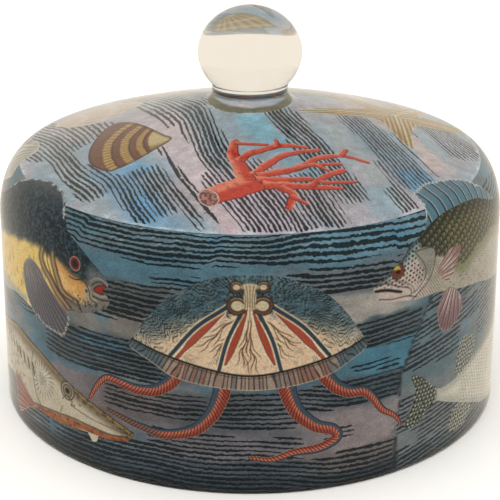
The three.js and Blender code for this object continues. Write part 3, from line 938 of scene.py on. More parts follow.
def jelly_ground(p, edge, in_cream):
    """The mottled blue of the bell and the cream of its front."""
    ink = Ink(p, "41697a", "628089", cloud(p, 6, 6, 11))
    ink.wash("2c4a58", 0.3 * patches(p, 5, 4, 13, 0.45, 0.7))
    ink.wash("8a9499", 0.45 * step(edge, 6, 1) * patches(p, 3, 3, 14, 0.35, 0.6))
    ink.wash(Ink(p, "f8e0c2", "e8c9a6", cloud(p, 6, 6, 15)), in_cream)
    return ink


def jelly_net(ink, angle, reach):
    """Wandering fine lines that spread over the blue from the crown of the bell."""
    spread = np.abs(angle)
    wave = angle + 2.0 * np.sin(reach / 2.3 + angle / 5) * (1 + noise(angle / 9, reach / 5, 19))
    for every, tint, least, amount in JELLY_NETS:
        wide = every * np.where(reach < 15, 4, np.where(reach < 27, 2, 1))
        shift = wave + 0.45 * wide * np.sin(reach / 0.9 + every * 4 + angle / 3)
        gap = np.abs((shift / wide + 0.31 * every) % 1 - 0.5) * wide * reach / PER_RADIAN
        live = step(fractal(angle / 4, reach / 3.2, int(every * 10)), 0.36, 0.5)
        ink.wash(tint, amount * step(gap, 0.42, 0.1) * step(spread, least, least + 5) * live)


def jelly_veins(angle, reach):
    """Forking brown veins between the bands of the cream, 0 to 1."""
    veins = np.zeros(len(angle))
    for k, middle in enumerate((-49, -33, -7, 2, 33, 47)):
        wander = 1.5 * np.sin(reach / 2.9 + k * 1.9) + 1.0 * np.sin(reach / 1.4 + k)
        near = np.abs(angle - middle - wander) * reach / PER_RADIAN
        trunk = step(near, 0.38, 0.13) * step(reach, 5, 8) * step(reach, 33 - 2 * (k % 3), 27)
        veins = np.maximum(veins, trunk)
        for side, start in ((-1, 10), (1, 13), (-1, 17), (1, 20)):
            fork = middle + side * np.clip(reach - start - k % 2, 0, 30) * (0.95 - start * 0.022) + wander
            branch = step(np.abs(angle - fork) * reach / PER_RADIAN, 0.36, 0.12)
            branch = branch * step(reach, start, start + 1) * step(reach, start + 13, start + 9)
            veins = np.maximum(veins, 0.85 * branch)
    return veins


def jelly_bands(ink, in_bell):
    """Red and blue bands down the cream, each with a pale halo and a dark outline."""
    for side in (-1, 1):
        for tint, line, width in JELLY_BANDS:
            distance, s, _ = to_line(ink.p, stroke([(side * a, b) for a, b in line]))
            taper = 0.4 + 0.6 * step(s, 0, 12) * step(-s, -27, -19)
            beyond = distance - width / 2 * (taper if width > 2 else 1)
            ink.wash("f0e2c2", 0.9 * step(beyond, 1.3, 0.7) * in_bell)
            ink.wash("4a3024", step(beyond, 0.4, 0.1) * in_bell)
            ink.wash(tint, step(beyond, 0.15, -0.2) * in_bell)


def jelly_knot(ink):
    """Four ringed loops round the striped stalk at the crown of the bell."""
    turn = np.linspace(0, 2 * np.pi, 17)[:-1]
    for side in (-1, 1):
        for (x, u), rx, ry, thick in JELLY_RINGS:
            loop = np.c_[side * (x + rx * np.cos(turn)), u + ry * np.sin(turn)]
            ink.dot((side * x, u), rx, ry, "f0dfbd")
            ink.line(loop, thick + 0.8, "2e231c", 0.95, True)
            ink.line(loop, thick - 0.1, "6d4c3a", 1.0, True)
            ink.line(loop[2:7], 0.4, "d9bd96", 0.8)
    for place, rx, ry in JELLY_STALK:
        ink.dot(place, rx, ry, "ecd9b3")
    for k in range(-2, 3):
        line = [(k * 1.7, 101), (k * 1.0, 95.5), (k * 1.2, 90), (k * 2.3, 84)]
        ink.line(line, 0.3, "5a4331", 0.9, soft=0.18)


def jelly_lip(p, below):
    """The slatted hem of the bell; below is the distance down from its top."""
    x, u = p.T
    count = (x - below * x * 0.012) / 2.0 + 1.1 * noise(x / 4, x * 0, 27)
    slat = np.random.default_rng(5).random(128)[np.floor(count + 64.5).astype(int) % 128]
    lip = Ink(p, "b3a08d", "9b8379", cloud(p, 3, 9, 19))
    lip.wash("8f5a4b", step(slat, 0.6, 0.7) * step(np.abs(np.abs(x) - 30), 16, 8) * 0.55)
    lip.wash("bda996", step(slat, 0.35, 0.2) * 0.5)
    lip.wash("66707a", step(np.abs(slat - 0.45), 0.1, 0.05) * 0.6)
    lip.wash("4d6876", step(np.abs(x), 38, 43) * 0.8)
    lip.wash("2b2320", stripes(count, 0.2, 0.06) * (0.55 + 0.45 * noise(x / 1.7, u / 5, 29)))
    lip.wash("3a302c", 0.6 * step(np.abs(below - 1.3), 0.35, 0.15))
    return lip


def jelly_bell(p, edge):
    """The bell: blue sides, a cream front with bands and veins, and a slatted hem."""
    x, u = p.T
    below = np.interp(x, *stroke(JELLY_HEM).T) - u
    in_hem = step(below, -0.3, 0.3)
    angle, reach = np.degrees(np.arctan2(x, JELLY_CROWN[1] - u)), np.hypot(x, u - JELLY_CROWN[1])
    in_cream = step(np.abs(angle) + 8 * (cloud(p, 4, 4, 17) - 0.5), 84, 60)
    ink = jelly_ground(p, edge, in_cream)
    jelly_net(ink, angle, reach)
    ink.wash("573a26", jelly_veins(angle, reach) * in_cream * (1 - in_hem))
    tufts = patches(p, 2.6, 2.2, 25, 0.6, 0.7) * step(reach, 24, 28)
    ink.wash("7d7a62", 0.6 * tufts * stripes((x + u * 0.4) / 0.9, 0.35, 0.1) * in_cream)
    jelly_bands(ink, 1 - in_hem)
    jelly_knot(ink)
    ink.wash(jelly_lip(p, below), in_hem)
    ink.wash("1f1a18", step(np.abs(below), 0.7, 0.3))
    ink.wash("d6c7b0", step(edge, 0.5, 0.2) * step(68 - u, 0, 2) * 0.8)
    crossed = np.where(cloud(p, 6, 6, 23) > 0.5, angle * 0.55 + reach * 0.25, angle * 0.45 - reach * 0.4)
    return ink.hatched(crossed, 0.4 * (1 - in_cream) * (1 - in_hem))


# Each arm: its line, its widths at root and tip, its shaded side, and the length it greys beyond.
NEVER = 1e9
JELLY_ARMS = (
    ([(-33, 57), (-37, 52), (-44, 47.5), (-53, 46.5), (-62, 48), (-69, 48.3), (-74.5, 43), (-79, 35.5)],
     7.2, 2.4, -1, NEVER),
    ([(-12, 54), (-13.5, 47), (-17, 39), (-23.5, 31.5), (-31, 28), (-41, 26.2), (-49, 27.5), (-58, 29.5),
      (-69, 32.5)], 8.4, 2.4, -1, 42),
    ([(16, 55), (18, 47), (22, 39), (30, 32), (38, 29), (40, 24.5), (32, 20.5), (20, 19.5), (10, 16.5),
      (0, 17.5)], 8.6, 2.2, 1, NEVER),
    ([(33, 58), (39, 50.5), (46, 46.5), (53, 45.5), (58, 41), (63, 34), (70, 29), (74, 23.5)],
     7.8, 2.0, 1, NEVER),
)


def rope(line, side, fades):
    """A painter for a ribbed arm, shaded along one side; it greys beyond a length."""
    centre = stroke(line)

    def painter(p, edge):
        d, s, which = to_line(p, centre)
        near = which * side
        turns = (s + near * d * 0.75) / 1.7
        shadow = (near > 0) * step(d, 0.9, 1.5)
        ink = Ink(p, "b24d37", "de8468", step(d - near * 0.4, 1.8, 0.2))
        ink.wash("74665f", 0.75 * step(s, fades, fades + 8))
        ink.wash("6a2619", 0.6 * stripes(turns))
        ink.wash("571f17", 0.7 * step(edge, 0.9, 0.3))
        ink.wash("44586a", shadow)
        ink.wash("26323c", shadow * step(edge, 0.8, 0.3) * 0.8)
        ink.wash("d9c9b5", step(edge, 0.35, 0.12) * (near < 0) * 0.8)
        return ink.hatched(turns, 0.45 * (1 - shadow))

    return painter


jelly = Cutout("jellyfish_cutout", wall_place, 0.36)
for line, start, end, side, fades in JELLY_ARMS:
    jelly.part(ribbon(line, start, end), rope(line, side, fades), UNDER)
jelly.part(smooth(JELLY_BELL), jelly_bell).make()

# The fishes of the front.
TENCH = [
    (-70, 91), (-66.6, 93.6), (-69, 98), (-74, 102), (-80, 106), (-87, 110), (-93, 113), (-97, 118),
    (-100, 122), (-105, 127), (-112, 130), (-122, 131.5), (-132, 131), (-150, 123), (-166, 111), (-190, 104),
    (-222, 100), (-250, 110), (-262, 98), (-254, 84), (-262, 70), (-246, 70), (-222, 82), (-190, 68),
    (-160, 65), (-139, 69), (-120, 68), (-104, 72), (-92, 75.5), (-83, 77), (-76, 79), (-70, 81.5),
    (-66.3, 85.5), (-67.4, 88.5),
]
TENCH_FIN = [
    (-128, 88), (-128.5, 80), (-125, 71.5), (-118, 65.5), (-109, 62), (-100, 61), (-95.5, 60.8), (-92, 66),
    (-90.5, 72.5), (-98, 78.5), (-106.5, 85), (-113, 91), (-121, 93),
]
# Where the dark back begins: x, and the height there.
TENCH_BACK = (
    (-262, -220, -173, -139, -120, -109, -98, -90, -82, -75, -70, -66),
    (92, 92, 91, 98, 101, 100, 99, 95, 93, 92, 93, 95),
)
TENCH_GILLS = (
    [(-109.5, 101), (-110.5, 96), (-107.5, 91), (-104, 88), (-99.5, 83), (-94.5, 79.5), (-91, 77)],
    [(-101.5, 101), (-101, 97), (-98.5, 90), (-95.5, 84.5), (-91, 82.5), (-86, 81.5)],
)


def tench_gills(ink):
    """Curved gill edges between the flank and the cheek."""
    for line in TENCH_GILLS:
        ink.line(line, 4.2, "6b5240", 0.75, soft=1.2)
        ink.line(line, 1.3, "b99a70", 0.9)
        ink.line([(a + 1.5, b + 0.6) for a, b in line], 0.6, "2e241d", 0.9)
        ink.line([(a - 1.5, b - 0.4) for a, b in line], 0.4, "3a2e24", 0.8)
    ink.line([(-105.5, 101), (-105.5, 96), (-102.5, 90), (-98.5, 85), (-93, 81)], 0.6, "2a211b", 0.9)


def tench_mouth(ink):
    """Grey lips round a red mouth."""
    crease = [(-90, 93), (-86, 92.5), (-81.5, 93.5), (-79, 91.5), (-77.5, 88.5), (-77, 85.5), (-74, 84)]
    ink.line(crease, 0.6, "2b2522")
    lips = ink.within([(-75, 96), (-70, 95.5), (-66.5, 92), (-66, 86.5), (-70, 84), (-75, 85), (-77, 90)])
    ink.wash("857c72", 0.85 * lips * patches(ink.p, 1.4, 1.4, 110, 0.25, 0.6))
    ink.line([(-77, 93.5), (-73.5, 96), (-70, 96), (-67, 94.2)], 0.6, "a8a196", 0.9)
    ink.line([(-76, 92), (-73, 94.3), (-70, 94.6), (-67.6, 93)], 0.5, "2a2624")
    ink.line([(-74.8, 90.2), (-71, 93), (-67.6, 92.6), (-68.8, 90.2), (-71, 89)], 0.8, "1d1413", 1.0, True)
    ink.wash("a82c1e", ink.within([(-74.6, 90.2), (-71, 93), (-67.6, 92.6), (-68.8, 90.2), (-71, 89.2)]))
    ink.line([(-74.5, 88.6), (-71, 87.9), (-67.6, 88.3)], 0.8, "b1a99c", 0.9)
    ink.line([(-75.5, 87.0), (-71, 86.2), (-66.8, 86.6)], 0.6, "211d1c")


def tail_rays(ink, tail, spread, tints):
    """Paint a tail with rays at even angles; returns the count of its engraved lines."""
    ink.wash(tints[0], tail)
    ink.wash(tints[1], 0.7 * tail * stripes(spread * 14))
    return spread * 28


def tench_body(p, edge):
    """A yellow flank under a dark back, with an orange cheek and a grey snout."""
    x, u = p.T
    rough = 3 * (cloud(p, 7, 7, 101) - 0.5)
    back = np.interp(x, *TENCH_BACK)
    cheek = step(x, -101, -98)
    ink = Ink(p, "fad061", "ffe695", cloud(p, 9, 9, 103))
    ink.wash("b48d3c", 0.6 * patches(p, 2.2, 6, 104, 0.62, 0.75))
    ink.wash("b5b3a2", step(u, 74, 69) * (x < -126))
    ink.wash("e2a65a", cheek)
    ink.wash("f4c983", cheek * patches(p, 8, 8, 105, 0.45, 0.7))
    ink.wash("847d74", step(u + rough * 0.4, 83.5, 80.5) * step(x, -98, -92))
    navy = Ink(p, "0e1922", "315160", patches(p, 0.95, 0.95, 107, 0.35, 0.75))
    navy.wash("4a5560", 0.4 * step(u, 112, 128))
    ink.wash(navy, step(u + rough - back, -2.5, 2.5))
    ink.wash("787a7c", step(x, -82, -76) * step(u, 104, 97) * 0.85)
    ink.wash("c9b9a0", step(np.hypot(x + 77, (u - 87) * 1.1), 5.5, 3.5) * 0.7)
    tench_gills(ink)
    for k in range(9):
        ink.line([(-172 + 5 * k, 88 - k % 3 * 5), (-171.6 + 5 * k, 85.4 - k % 3 * 5)], 0.7, "7a5a24", 0.8)
    ink.eye((-86, 100), 3.0, "d8b8ae", "741818")
    ink.dot((-86, 100), 1.7, 1.8, "1a0c0c")
    tench_mouth(ink)
    stubble = patches(p, 0.9, 0.9, 112, 0.5, 0.62) * step(x, -92, -84) * step(u + 0.15 * x, 74.5, 72)
    ink.wash("26221f", 0.7 * stubble)
    ink.dot((-79.2, 88.6), 0.7, 0.8, "2a211c")
    crest = step(edge, 1.5, 0.4) * step(x, -94, -99) * step(u, 112, 118)
    ink.wash("c8ccc8", crest * patches(p, 1.3, 1.3, 109, 0.4, 0.55))
    tail = step(-x, 228, 240)
    rays = tail_rays(ink, tail, np.arctan2(u - 84, -x - 205), ("3b4a5a", "8a97a0"))
    return ink.hatched(rays, 0.5 * tail)


tench = Cutout("tench_cutout", wall_place, 0.42)
tench.part(ragged_edge(smooth(TENCH), 1.2, 2.2, (-98, 119), (-128, 131)), tench_body)
tench_fin = fin((-127, 99), ("8f8985", "6d6870", "b3ada7"), 8, "c9c3ba", 0.55)
tench.part(ragged_edge(smooth(TENCH_FIN), 1.6, 1.7, (-117, 65), (-90.5, 73)), tench_fin, OVER)
tench.make()

PIKE = [
    (-55, 23.5), (-58, 25), (-62, 27), (-73, 31.5), (-84, 35.5), (-98, 41), (-116, 48), (-140, 52),
    (-165, 47), (-190, 38), (-215, 29), (-232, 22), (-250, 26), (-262, 16), (-256, 4), (-250, 1.5),
    (-232, 8), (-215, 8), (-190, 12), (-165, 19), (-150, 21), (-136, 18), (-127, 14.5), (-118, 15),
    (-95, 15.5), (-81, 17), (-68, 17), (-58, 19),
]
# The back's edge and the mouth's line: x, and the height there.
PIKE_TOP = (
    (-262, -232, -215, -190, -165, -140, -116, -98, -84, -73, -62, -55),
    (18, 24, 29, 38, 47, 52, 48, 41, 35.5, 31.5, 27, 23.5),
)
PIKE_JAW = ((-140, -119, -94, -81, -68, -58), (14, 17.2, 20.6, 20.4, 19.4, 20.5))


def pike_jaw(ink, below):
    """The orange lower jaw, the pale tooth line and the edges of the mouth."""
    x, u = ink.p.T
    jaw = np.interp(x, *PIKE_JAW)
    orange = Ink(ink.p, "b56a3c", "7d4a2c", patches(ink.p, 1.6, 1.2, 125, 0.5, 0.66))
    ink.wash(orange, step(u - jaw, 0.8, -0.6) * step(x, -126, -118))
    snout = patches(ink.p, 1.5, 1.2, 127, 0.52, 0.64) * step(below, 6, 2.5) * step(x, -112, -92)
    ink.wash("4d3f27", 0.7 * snout)
    ink.wash("cdbd98", step(jaw - u, 2.6, 3.4) * step(x, -90, -84) * 0.9)
    ink.line([(-128, 15.5), (-119, 17.6), (-94, 21), (-81, 20.8), (-68, 19.8), (-58, 20.8)], 0.6, "362b22")
    ink.line([(-56, 22), (-66, 23), (-80, 25), (-92, 27.5)], 0.45, "5b4c38", 0.8)


def pike_cheek(ink):
    """The rayed cheek behind the eye, and the gill edges."""
    angle, reach = polar(ink.p, (-114.0, 33.0))
    ink.wash("a29a87", 0.7 * step(reach, 4.0, 0.5))
    ink.wash("ece6d6", 0.7 * step(np.abs(reach - 5), 2.5, 0.5))
    rays = step(np.abs(np.sin(angle * 11 + 0.2 * reach)), 0.5, 0.15)
    ink.wash("5a5143", rays * step(reach, 11, 8) * step(reach, 0.8, 2) * 0.85)
    ink.line([(-122, 45), (-124, 36), (-121, 24), (-116, 18)], 0.7, "5a5040", 0.8)
    ink.line([(-119, 43), (-120.5, 36), (-118, 27)], 0.4, "8a7f6a", 0.8)


def pike_body(p, edge):
    """A cream body with a dark edge along its back."""
    x, u = p.T
    below = np.interp(x, *PIKE_TOP) - u
    ink = Ink(p, "eadfc8", "cdc0a8", cloud(p, 7, 5, 121))
    ink.wash("7d6a4a", step(below, 8.5, 2.0) * 0.85)
    ink.wash("b79555", step(below, 2.6, 1.4) * 0.8)
    ink.wash("3a3128", step(below, 0.8, 0.3))
    ink.wash("9a8450", 0.7 * patches(p, 2.4, 1.8, 123, 0.55, 0.7) * step(x, -122, -135))
    pike_jaw(ink, below)
    for r, tint in ((4.9, "4a4034"), (4.2, "b9ad94"), (3.3, "4b4036"), (2.7, "a08f6f"), (1.5, "1a1613")):
        ink.dot((-94, 34.3), r, r, tint)
    for k in range(7):
        pore = (-88 + 2.2 * np.cos(k * 1.7) - k * 1.3, 29.5 - 1.7 * np.sin(k * 2.1))
        ink.dot(pore, 0.6, 0.5, "4b4034", 0.8)
    pike_cheek(ink)
    for k in range(8):
        a, b = -158 + 5 * k, 44 - 0.9 * k
        ink.line([(a, b), (a + 1.2, b - 4.5)], 1.5, "3c342a", 0.95)
    ink.line([(-98, 25), (-100, 20), (-96, 18)], 1.1, "a79b82", 0.8)
    angle, _ = polar(p, (-60, 30))
    return ink.hatched(np.where(x > -122, x * 0.6 + u * 0.5, angle * 60), 0.16 + 0.2 * step(below, 10, 2))


PIKE_TOOTH = [(-81, 18), (-75, 19), (-75.6, 14.4), (-78, 13), (-79.6, 14.6)]
PIKE_FIN = [
    (-122, 16), (-130, 20), (-138, 23), (-147, 25), (-147, 19), (-145, 14), (-146, 8), (-142, 4), (-136, 7),
    (-130, 11), (-124, 14),
]
pike = Cutout("pike_cutout", wall_place, 0.5)
pike.part(smooth(PIKE), pike_body)
pike_fin = fin((-117, 14), ("c9553d", "a83a28", "f6b7a0"), 8, "d9b8a4", 0.9, 80)
pike.part(ragged_edge(smooth(PIKE_FIN), 0.8, 2.0, (-147, 24), (-142, 4)), pike_fin, OVER)
pike.part(smooth(PIKE_TOOTH), lambda p, edge: Ink(p, "ded2ba").hatched(), UNDER)
pike.make()

PERCH = [
    (56.5, 93.5), (60, 96.5), (64, 99.5), (72, 104.5), (78, 110), (86, 113.5), (94, 117), (110, 119.5),
    (135, 117.5), (157, 110), (185, 106), (212, 98), (230, 96), (250, 106), (262, 94), (254, 82), (262, 70),
    (246, 68), (226, 78), (200, 68), (175, 68), (150, 72), (132, 77), (115, 80), (100, 83), (91, 84),
    (81, 84), (72, 85.5), (64, 86.5), (59, 88.5), (60, 91),
]
PERCH_SAIL = [
    (90, 114), (95, 124), (98, 134), (106, 137), (115, 138), (131, 134), (140, 129), (147, 121), (158, 110),
    (150, 108), (130, 114), (110, 116),
]
PERCH_ARM = [(96, 98), (95, 92), (102, 87.5), (107, 90.5), (110, 96), (112, 102), (104, 102.5)]
PERCH_KEEL = [(103, 84), (96, 77), (96.5, 67.5), (101, 62.5), (108, 63.5), (115.5, 70.5), (112, 78.5)]
# Where the dark back begins: x, and the height there.
PERCH_BACK = (
    (57, 66, 72, 80, 90, 100, 107, 113, 120, 127, 148, 175, 262),
    (108, 108, 108, 107, 103, 100, 95, 92, 93, 97, 100, 92, 86),
)


def scattered(x, y, wander, seed):
    """Places within a grid whose rows are staggered and whose columns wander, -0.5 to 0.5."""
    x = x + 0.5 * (np.floor(y) % 2) + wander * noise(*seed)
    return x % 1 - 0.5, y % 1 - 0.5


def perch_flank(p, edge, dark):
    """A pale belly under a dark back of overlapping scales."""
    x, u = p.T
    ink = Ink(p, "cfc6b4", "b0a794", cloud(p, 4, 4, 141))
    ink.wash("85865a", step(u - np.interp(x, *PERCH_BACK), -9, -1) * step(x, 98, 108) * 0.8)
    ink.wash(Ink(p, "716e42", "3d3c24", step(edge, 8, 1)), dark)
    ink.wash("47493c", 0.7 * dark * step(x, 106, 96))
    column, row = (x * 0.86 + u * 0.42) / 2.9, (u * 0.86 - x * 0.40) / 3.1
    fx, fy = scattered(column, row, 0.2, (x / 3, u / 3, 149))
    rim = np.abs(np.hypot(fx + 0.25, fy * 0.95) - 0.5)
    ink.wash("1a180f", step(rim, 0.19, 0.08) * dark * 0.9)
    ink.wash("a3a078", step(np.hypot(fx, fy), 0.32, 0.12) * dark * 0.5)
    flecks = step(np.hypot(fx, fy * 1.8), 0.3, 0.12) * step(noise(x / 2, u / 2, 148), 0.3, 0.6)
    ink.wash("55554c", flecks * (1 - dark) * step(x, 94, 104) * 0.7)
    return ink


def perch_skull(p, edge):
    """A pale head that darkens upwards under round spots."""
    x, u = p.T
    skull = Ink(p, "d9c5ba", "9fb1b0", step(u - (93 + (x - 57) * 0.4), -2, 6))
    skull.wash("6f8684", 0.7 * step(u - (95 + (x - 57) * 0.62), -3, 5))
    skull.wash("3f5356", 0.85 * step(edge, 3.0, 0.5) * step(u, 94, 98))
    fx, fy = scattered((x * 0.9 + u * 0.3) / 2.1, (u * 0.9 - x * 0.3) / 1.8, 0.5, (x / 2, u / 2, 147))
    skull.wash("181b1d", step(np.hypot(fx, fy), 0.34, 0.2) * step(u, 91, 93.5) * 0.9)
    return skull


def perch_gill(ink):
    """The pale gill plate with its edges and the hatched patch on it."""
    x, u = ink.p.T
    ink.wash("a19e94", ink.within([(80, 107), (92, 106), (91.5, 99), (86, 92), (85, 97)]) * 0.9)
    ink.line([(80, 107), (92, 106), (92, 98), (88, 91), (83, 87.5), (78.5, 84.5)], 0.5, "3c3c38", 0.9)
    ink.line([(80, 107), (85.5, 100), (86.5, 94), (82, 89), (76, 86.8)], 0.5, "55554e")
    ink.line([(79, 86), (84, 90), (88, 94)], 0.8, "efe8dc", 0.85)
    patch = step(x, 79, 83) * step(x, 99, 93) * step(u, 103, 98)
    ink.wash("6b675e", 0.6 * patch * stripes((x * 0.8 + u * 0.6) / 1.25))


def perch_mouth(ink):
    """The dark mouth line between pale lips, and the creases round it."""
    ink.line([(57, 95.2), (63, 95.6), (70, 93), (76, 91)], 0.5, "35302c", 0.9)
    ink.line([(57, 94), (63, 94.2), (70, 91.5), (75, 90)], 0.7, "d9cbbf", 0.9)
    ink.line([(58, 92.8), (64, 92.3), (72, 89.8)], 1.4, "24211f")
    ink.line([(60, 90.6), (66, 89.6), (74, 88.8), (80, 87)], 0.6, "d9cbbf", 0.9)
    ink.line([(61, 95), (66, 97), (72, 95), (78, 91.5), (80, 88)], 0.4, "5a4f4a", 0.7)
    ink.line([(60, 88.6), (67, 87.4), (75, 87.2), (81, 85.4)], 0.5, "3a3430", 0.9)
    ink.line([(74, 92), (77.5, 90), (78, 87.6)], 0.5, "4a423c", 0.8)
    ink.line([(63, 96), (69, 95.5), (74, 93)], 0.4, "5a4f4a", 0.8)


def perch_body(p, edge):
    """A scaled dark back over a pale belly, and a pale spotted head."""
    x, u = p.T
    dark = step(u - np.interp(x, *PERCH_BACK) + 3 * (cloud(p, 4, 4, 143) - 0.5), -1.2, 1.2)
    head = step(x + (u - 95) * 0.25, 89, 86)
    ink = perch_flank(p, edge, dark)
    ink.wash(perch_skull(p, edge), head)
    perch_gill(ink)
    perch_mouth(ink)
    ink.eye((70, 100), 2.9, "8a5a3a", "7a3a24")
    ink.dot((69.2, 101.7), 1.7, 1.0, "d6c044")
    tail = step(x, 222, 236)
    rays = tail_rays(ink, tail, np.arctan2(u - 82, x - 200), ("8d6a4c", "c7a98c"))
    count = np.where(x < 222, u * 0.75 + x * 0.25, rays)
    return ink.hatched(count, 0.1 * (1 - dark) * (1 - head) + 0.5 * tail)


def sail(p, edge):
    """A blue fin with dark spines."""
    x, u = p.T
    ink = Ink(p, "6796ab", "4f788d", cloud(p, 8, 8, 151))
    ink.wash("7f96a2", step(x, 128, 150) * 0.7)
    spine = (x + (u - 112) * 0.42 * np.interp(x, (90, 120, 155), (0.2, -0.6, -1.4))) / 6.1
    ink.wash("1f2b33", stripes(spine, 0.12, 0.05))
    ink.wash("c5d2d4", step(np.abs(spine % 1 - 0.66), 0.07, 0.02) * 0.8)
    ink.wash("dfe3de", step(edge, 1.1, 0.4) * step(u, 117, 121))
    return ink.hatched(u * 0.9 - x * 0.5, 0.22)


perch = Cutout("perch_cutout", wall_place, 0.42)
perch.part(ragged_edge(smooth(PERCH_SAIL), 1.5, 3.0, (96, 127), (147, 121), 4), sail, UNDER)
perch.part(smooth(PERCH), perch_body)
perch.part(smooth(PERCH_ARM), fin((88, 90), ("b3877b", "a0766f", "fff6ea"), 7, None, 0.5), OVER)
perch.part(smooth(PERCH_KEEL), fin((110, 92), ("b08a84", "93696f", "fff6ea"), 6, "b79a96", 0.5), OVER)
perch.make()

SPOTTED = [
    (79.5, 46), (87, 43.5), (96, 35), (104, 33.5), (118, 36), (140, 44), (165, 49), (190, 50), (215, 45),
    (235, 34), (248, 25), (240, 17), (225, 10), (200, 4), (170, 3), (145, 8), (130, 14), (116, 20),
    (104, 25), (96, 28), (89, 24), (85, 20), (76, 21), (80, 30), (82.5, 38),
]
SPOTTED_TOP = [(112, 36), (112, 45), (114, 51.5), (121, 54), (130, 50), (129, 42), (121, 35)]
SPOTTED_LOW = [(108, 9), (110, 18), (119, 20), (129, 14), (122, 6.5), (113, 6)]


def freckled(p, base, size=2.3):
    """Black spots with pale ones between them."""
    gx, gy = p[:, 0] / size, p[:, 1] / size * 1.1
    right, up = noise(gx / 1.3, gy / 1.3, 7), noise(gx / 1.3, gy / 1.3, 9)
    gx, gy = gx + 0.5 * (np.floor(gy) % 2) + 0.7 * right, gy + 0.6 * up
    ink = Ink(p, base, "12140f", step(np.hypot(gx % 1 - 0.5, gy % 1 - 0.5), 0.4, 0.26))
    ink.wash("f0ecdc", step(np.hypot(gx % 1 - 0.05, gy % 1 - 0.9), 0.34, 0.16) * 0.95)
    return ink


def spotted_body(p, edge):
    """A pale body with a freckled snout."""
    x, u = p.T
    ink = Ink(p, "efe8d8", "d8d2c2", cloud(p, 6, 6, 161))
    ink.wash("a8a79a", step(edge, 5, 0.8) * 0.5)
    ink.wash("6f7768", 0.7 * step(u - edge * 0.4 + 4 * cloud(p, 9, 9, 163), 36, 46) * step(x, 118, 136))
    ink.wash(freckled(p, "6d7264"), step(x + np.abs(u - 32) * 0.15, 98.5, 95))
    gx, gy = (x * 0.95 + u * 0.3) / 2.6, (u * 0.95 - x * 0.3) / 2.1
    near = np.hypot(gx % 1 - 0.5, (gy % 1 - 0.5) * 1.6)
    ink.wash("4b4d44", step(near, 0.3, 0.16) * step(x, 112, 122) * 0.75)
    ink.eye((232, 27), 2.6, "c9b98e", "8a7a3c")
    ink.line([(214, 40), (210, 28), (216, 14)], 0.8, "4f4c40", 0.8)
    return ink.hatched(u * 0.8 + x * 0.4, 0.07 * step(x, 100, 110))


spotted = Cutout("spotted_fish_cutout", wall_place, 0.5)
spotted.part(smooth(SPOTTED_TOP), lambda p, edge: freckled(p, "969a8e", 2.2).hatched(), UNDER)
spotted.part(smooth(SPOTTED_LOW), lambda p, edge: freckled(p, "9b9b8d", 2.2).hatched(), UNDER)
spotted.part(smooth(SPOTTED), spotted_body).make()

# The far side's figures.
ANGELFISH = [
    (-272, 48), (-280, 56), (-288, 64), (-294, 78), (-312, 88), (-312, 76), (-314, 60), (-326, 62),
    (-332, 48), (-326, 34), (-314, 38), (-312, 22), (-312, 10), (-294, 18), (-288, 32), (-280, 40),
]


def angelfish(p, edge):
    """Ochre with blue bars."""
    x, u = p.T
    bars = np.sin((x + 300) / 3.6 + 0.9 * np.sin(u / 9))
    ink = Ink(p, "c8923f", "d9b45c", cloud(p, 5, 5, 171))
    ink.wash("2f4c66", step(bars, 0.35, 0.6))
    ink.wash("a8562f", step(edge, 3.2, 1.2) * 0.7)
    ink.eye((-281, 50), 1.9, "d8c9a0", "7a3a1c")
    ink.wash("2a2420", step(edge, 0.6, 0.25))
    return ink.hatched(u * 0.7 + x * 0.5, 0.28)


add_figure("angelfish_cutout", wall_place, ANGELFISH, angelfish, 0.55)

SEAHORSE = [
    (296, 104), (303, 102), (310, 96), (320, 89), (319, 85.5), (312, 85.5), (305, 86), (302, 78), (309, 66),
    (310, 56), (307, 44), (300, 36), (290, 31), (286, 24), (289, 19), (295, 20), (297, 16), (291, 11),
    (281, 13), (277, 20), (279, 32), (288, 42), (290, 50), (285, 62), (283, 76), (285, 90), (289, 100),
]
SEAHORSE_SPINE = [
    (300, 96), (293, 84), (295, 70), (299, 56), (296, 44), (286, 34), (281, 24), (286, 15), (293, 16),
]


def seahorse(p, edge):
    """Ochre with dark rings round its spine."""
    d, s, _ = to_line(p, stroke(SEAHORSE_SPINE))
    ink = Ink(p, "c09a4e", "dcc585", step(d, 7, 0.5))
    ink.wash("5a4224", 0.75 * step(np.abs(np.sin(s * 0.95)), 0.35, 0.08))
    ink.wash("6b4f2c", step(edge, 2.4, 0.4) * 0.7)
    ink.eye((302, 95), 1.5, "e0d3a8", "2c2a28")
    return ink.hatched(s * 1.1, 0.2)


add_figure("seahorse_cutout", wall_place, SEAHORSE, seahorse, 0.55)

CRAB_CENTRE = (384, 56)
CRAB = [(0, 16), (16, 15), (27, 9), (30, 2), (25, -9), (13, -17), (0, -18)]
# Limbs of the right side: line, widths at root and tip.
CRAB_LIMBS = (
    ([(20, 9), (30, 15), (36, 24), (32, 36)], 7, 9), ([(25, 3), (38, 6), (46, -4)], 5, 2),
    ([(25, -4), (38, -7), (43, -22)], 5, 2), ([(18, -9), (30, -18), (31, -34)], 5, 2),
)


def on_crab(points, side=1):
    """Places measured from the crab's centre, on its right or mirrored to its left."""
    return [(CRAB_CENTRE[0] + side * a, CRAB_CENTRE[1] + b) for a, b in points]


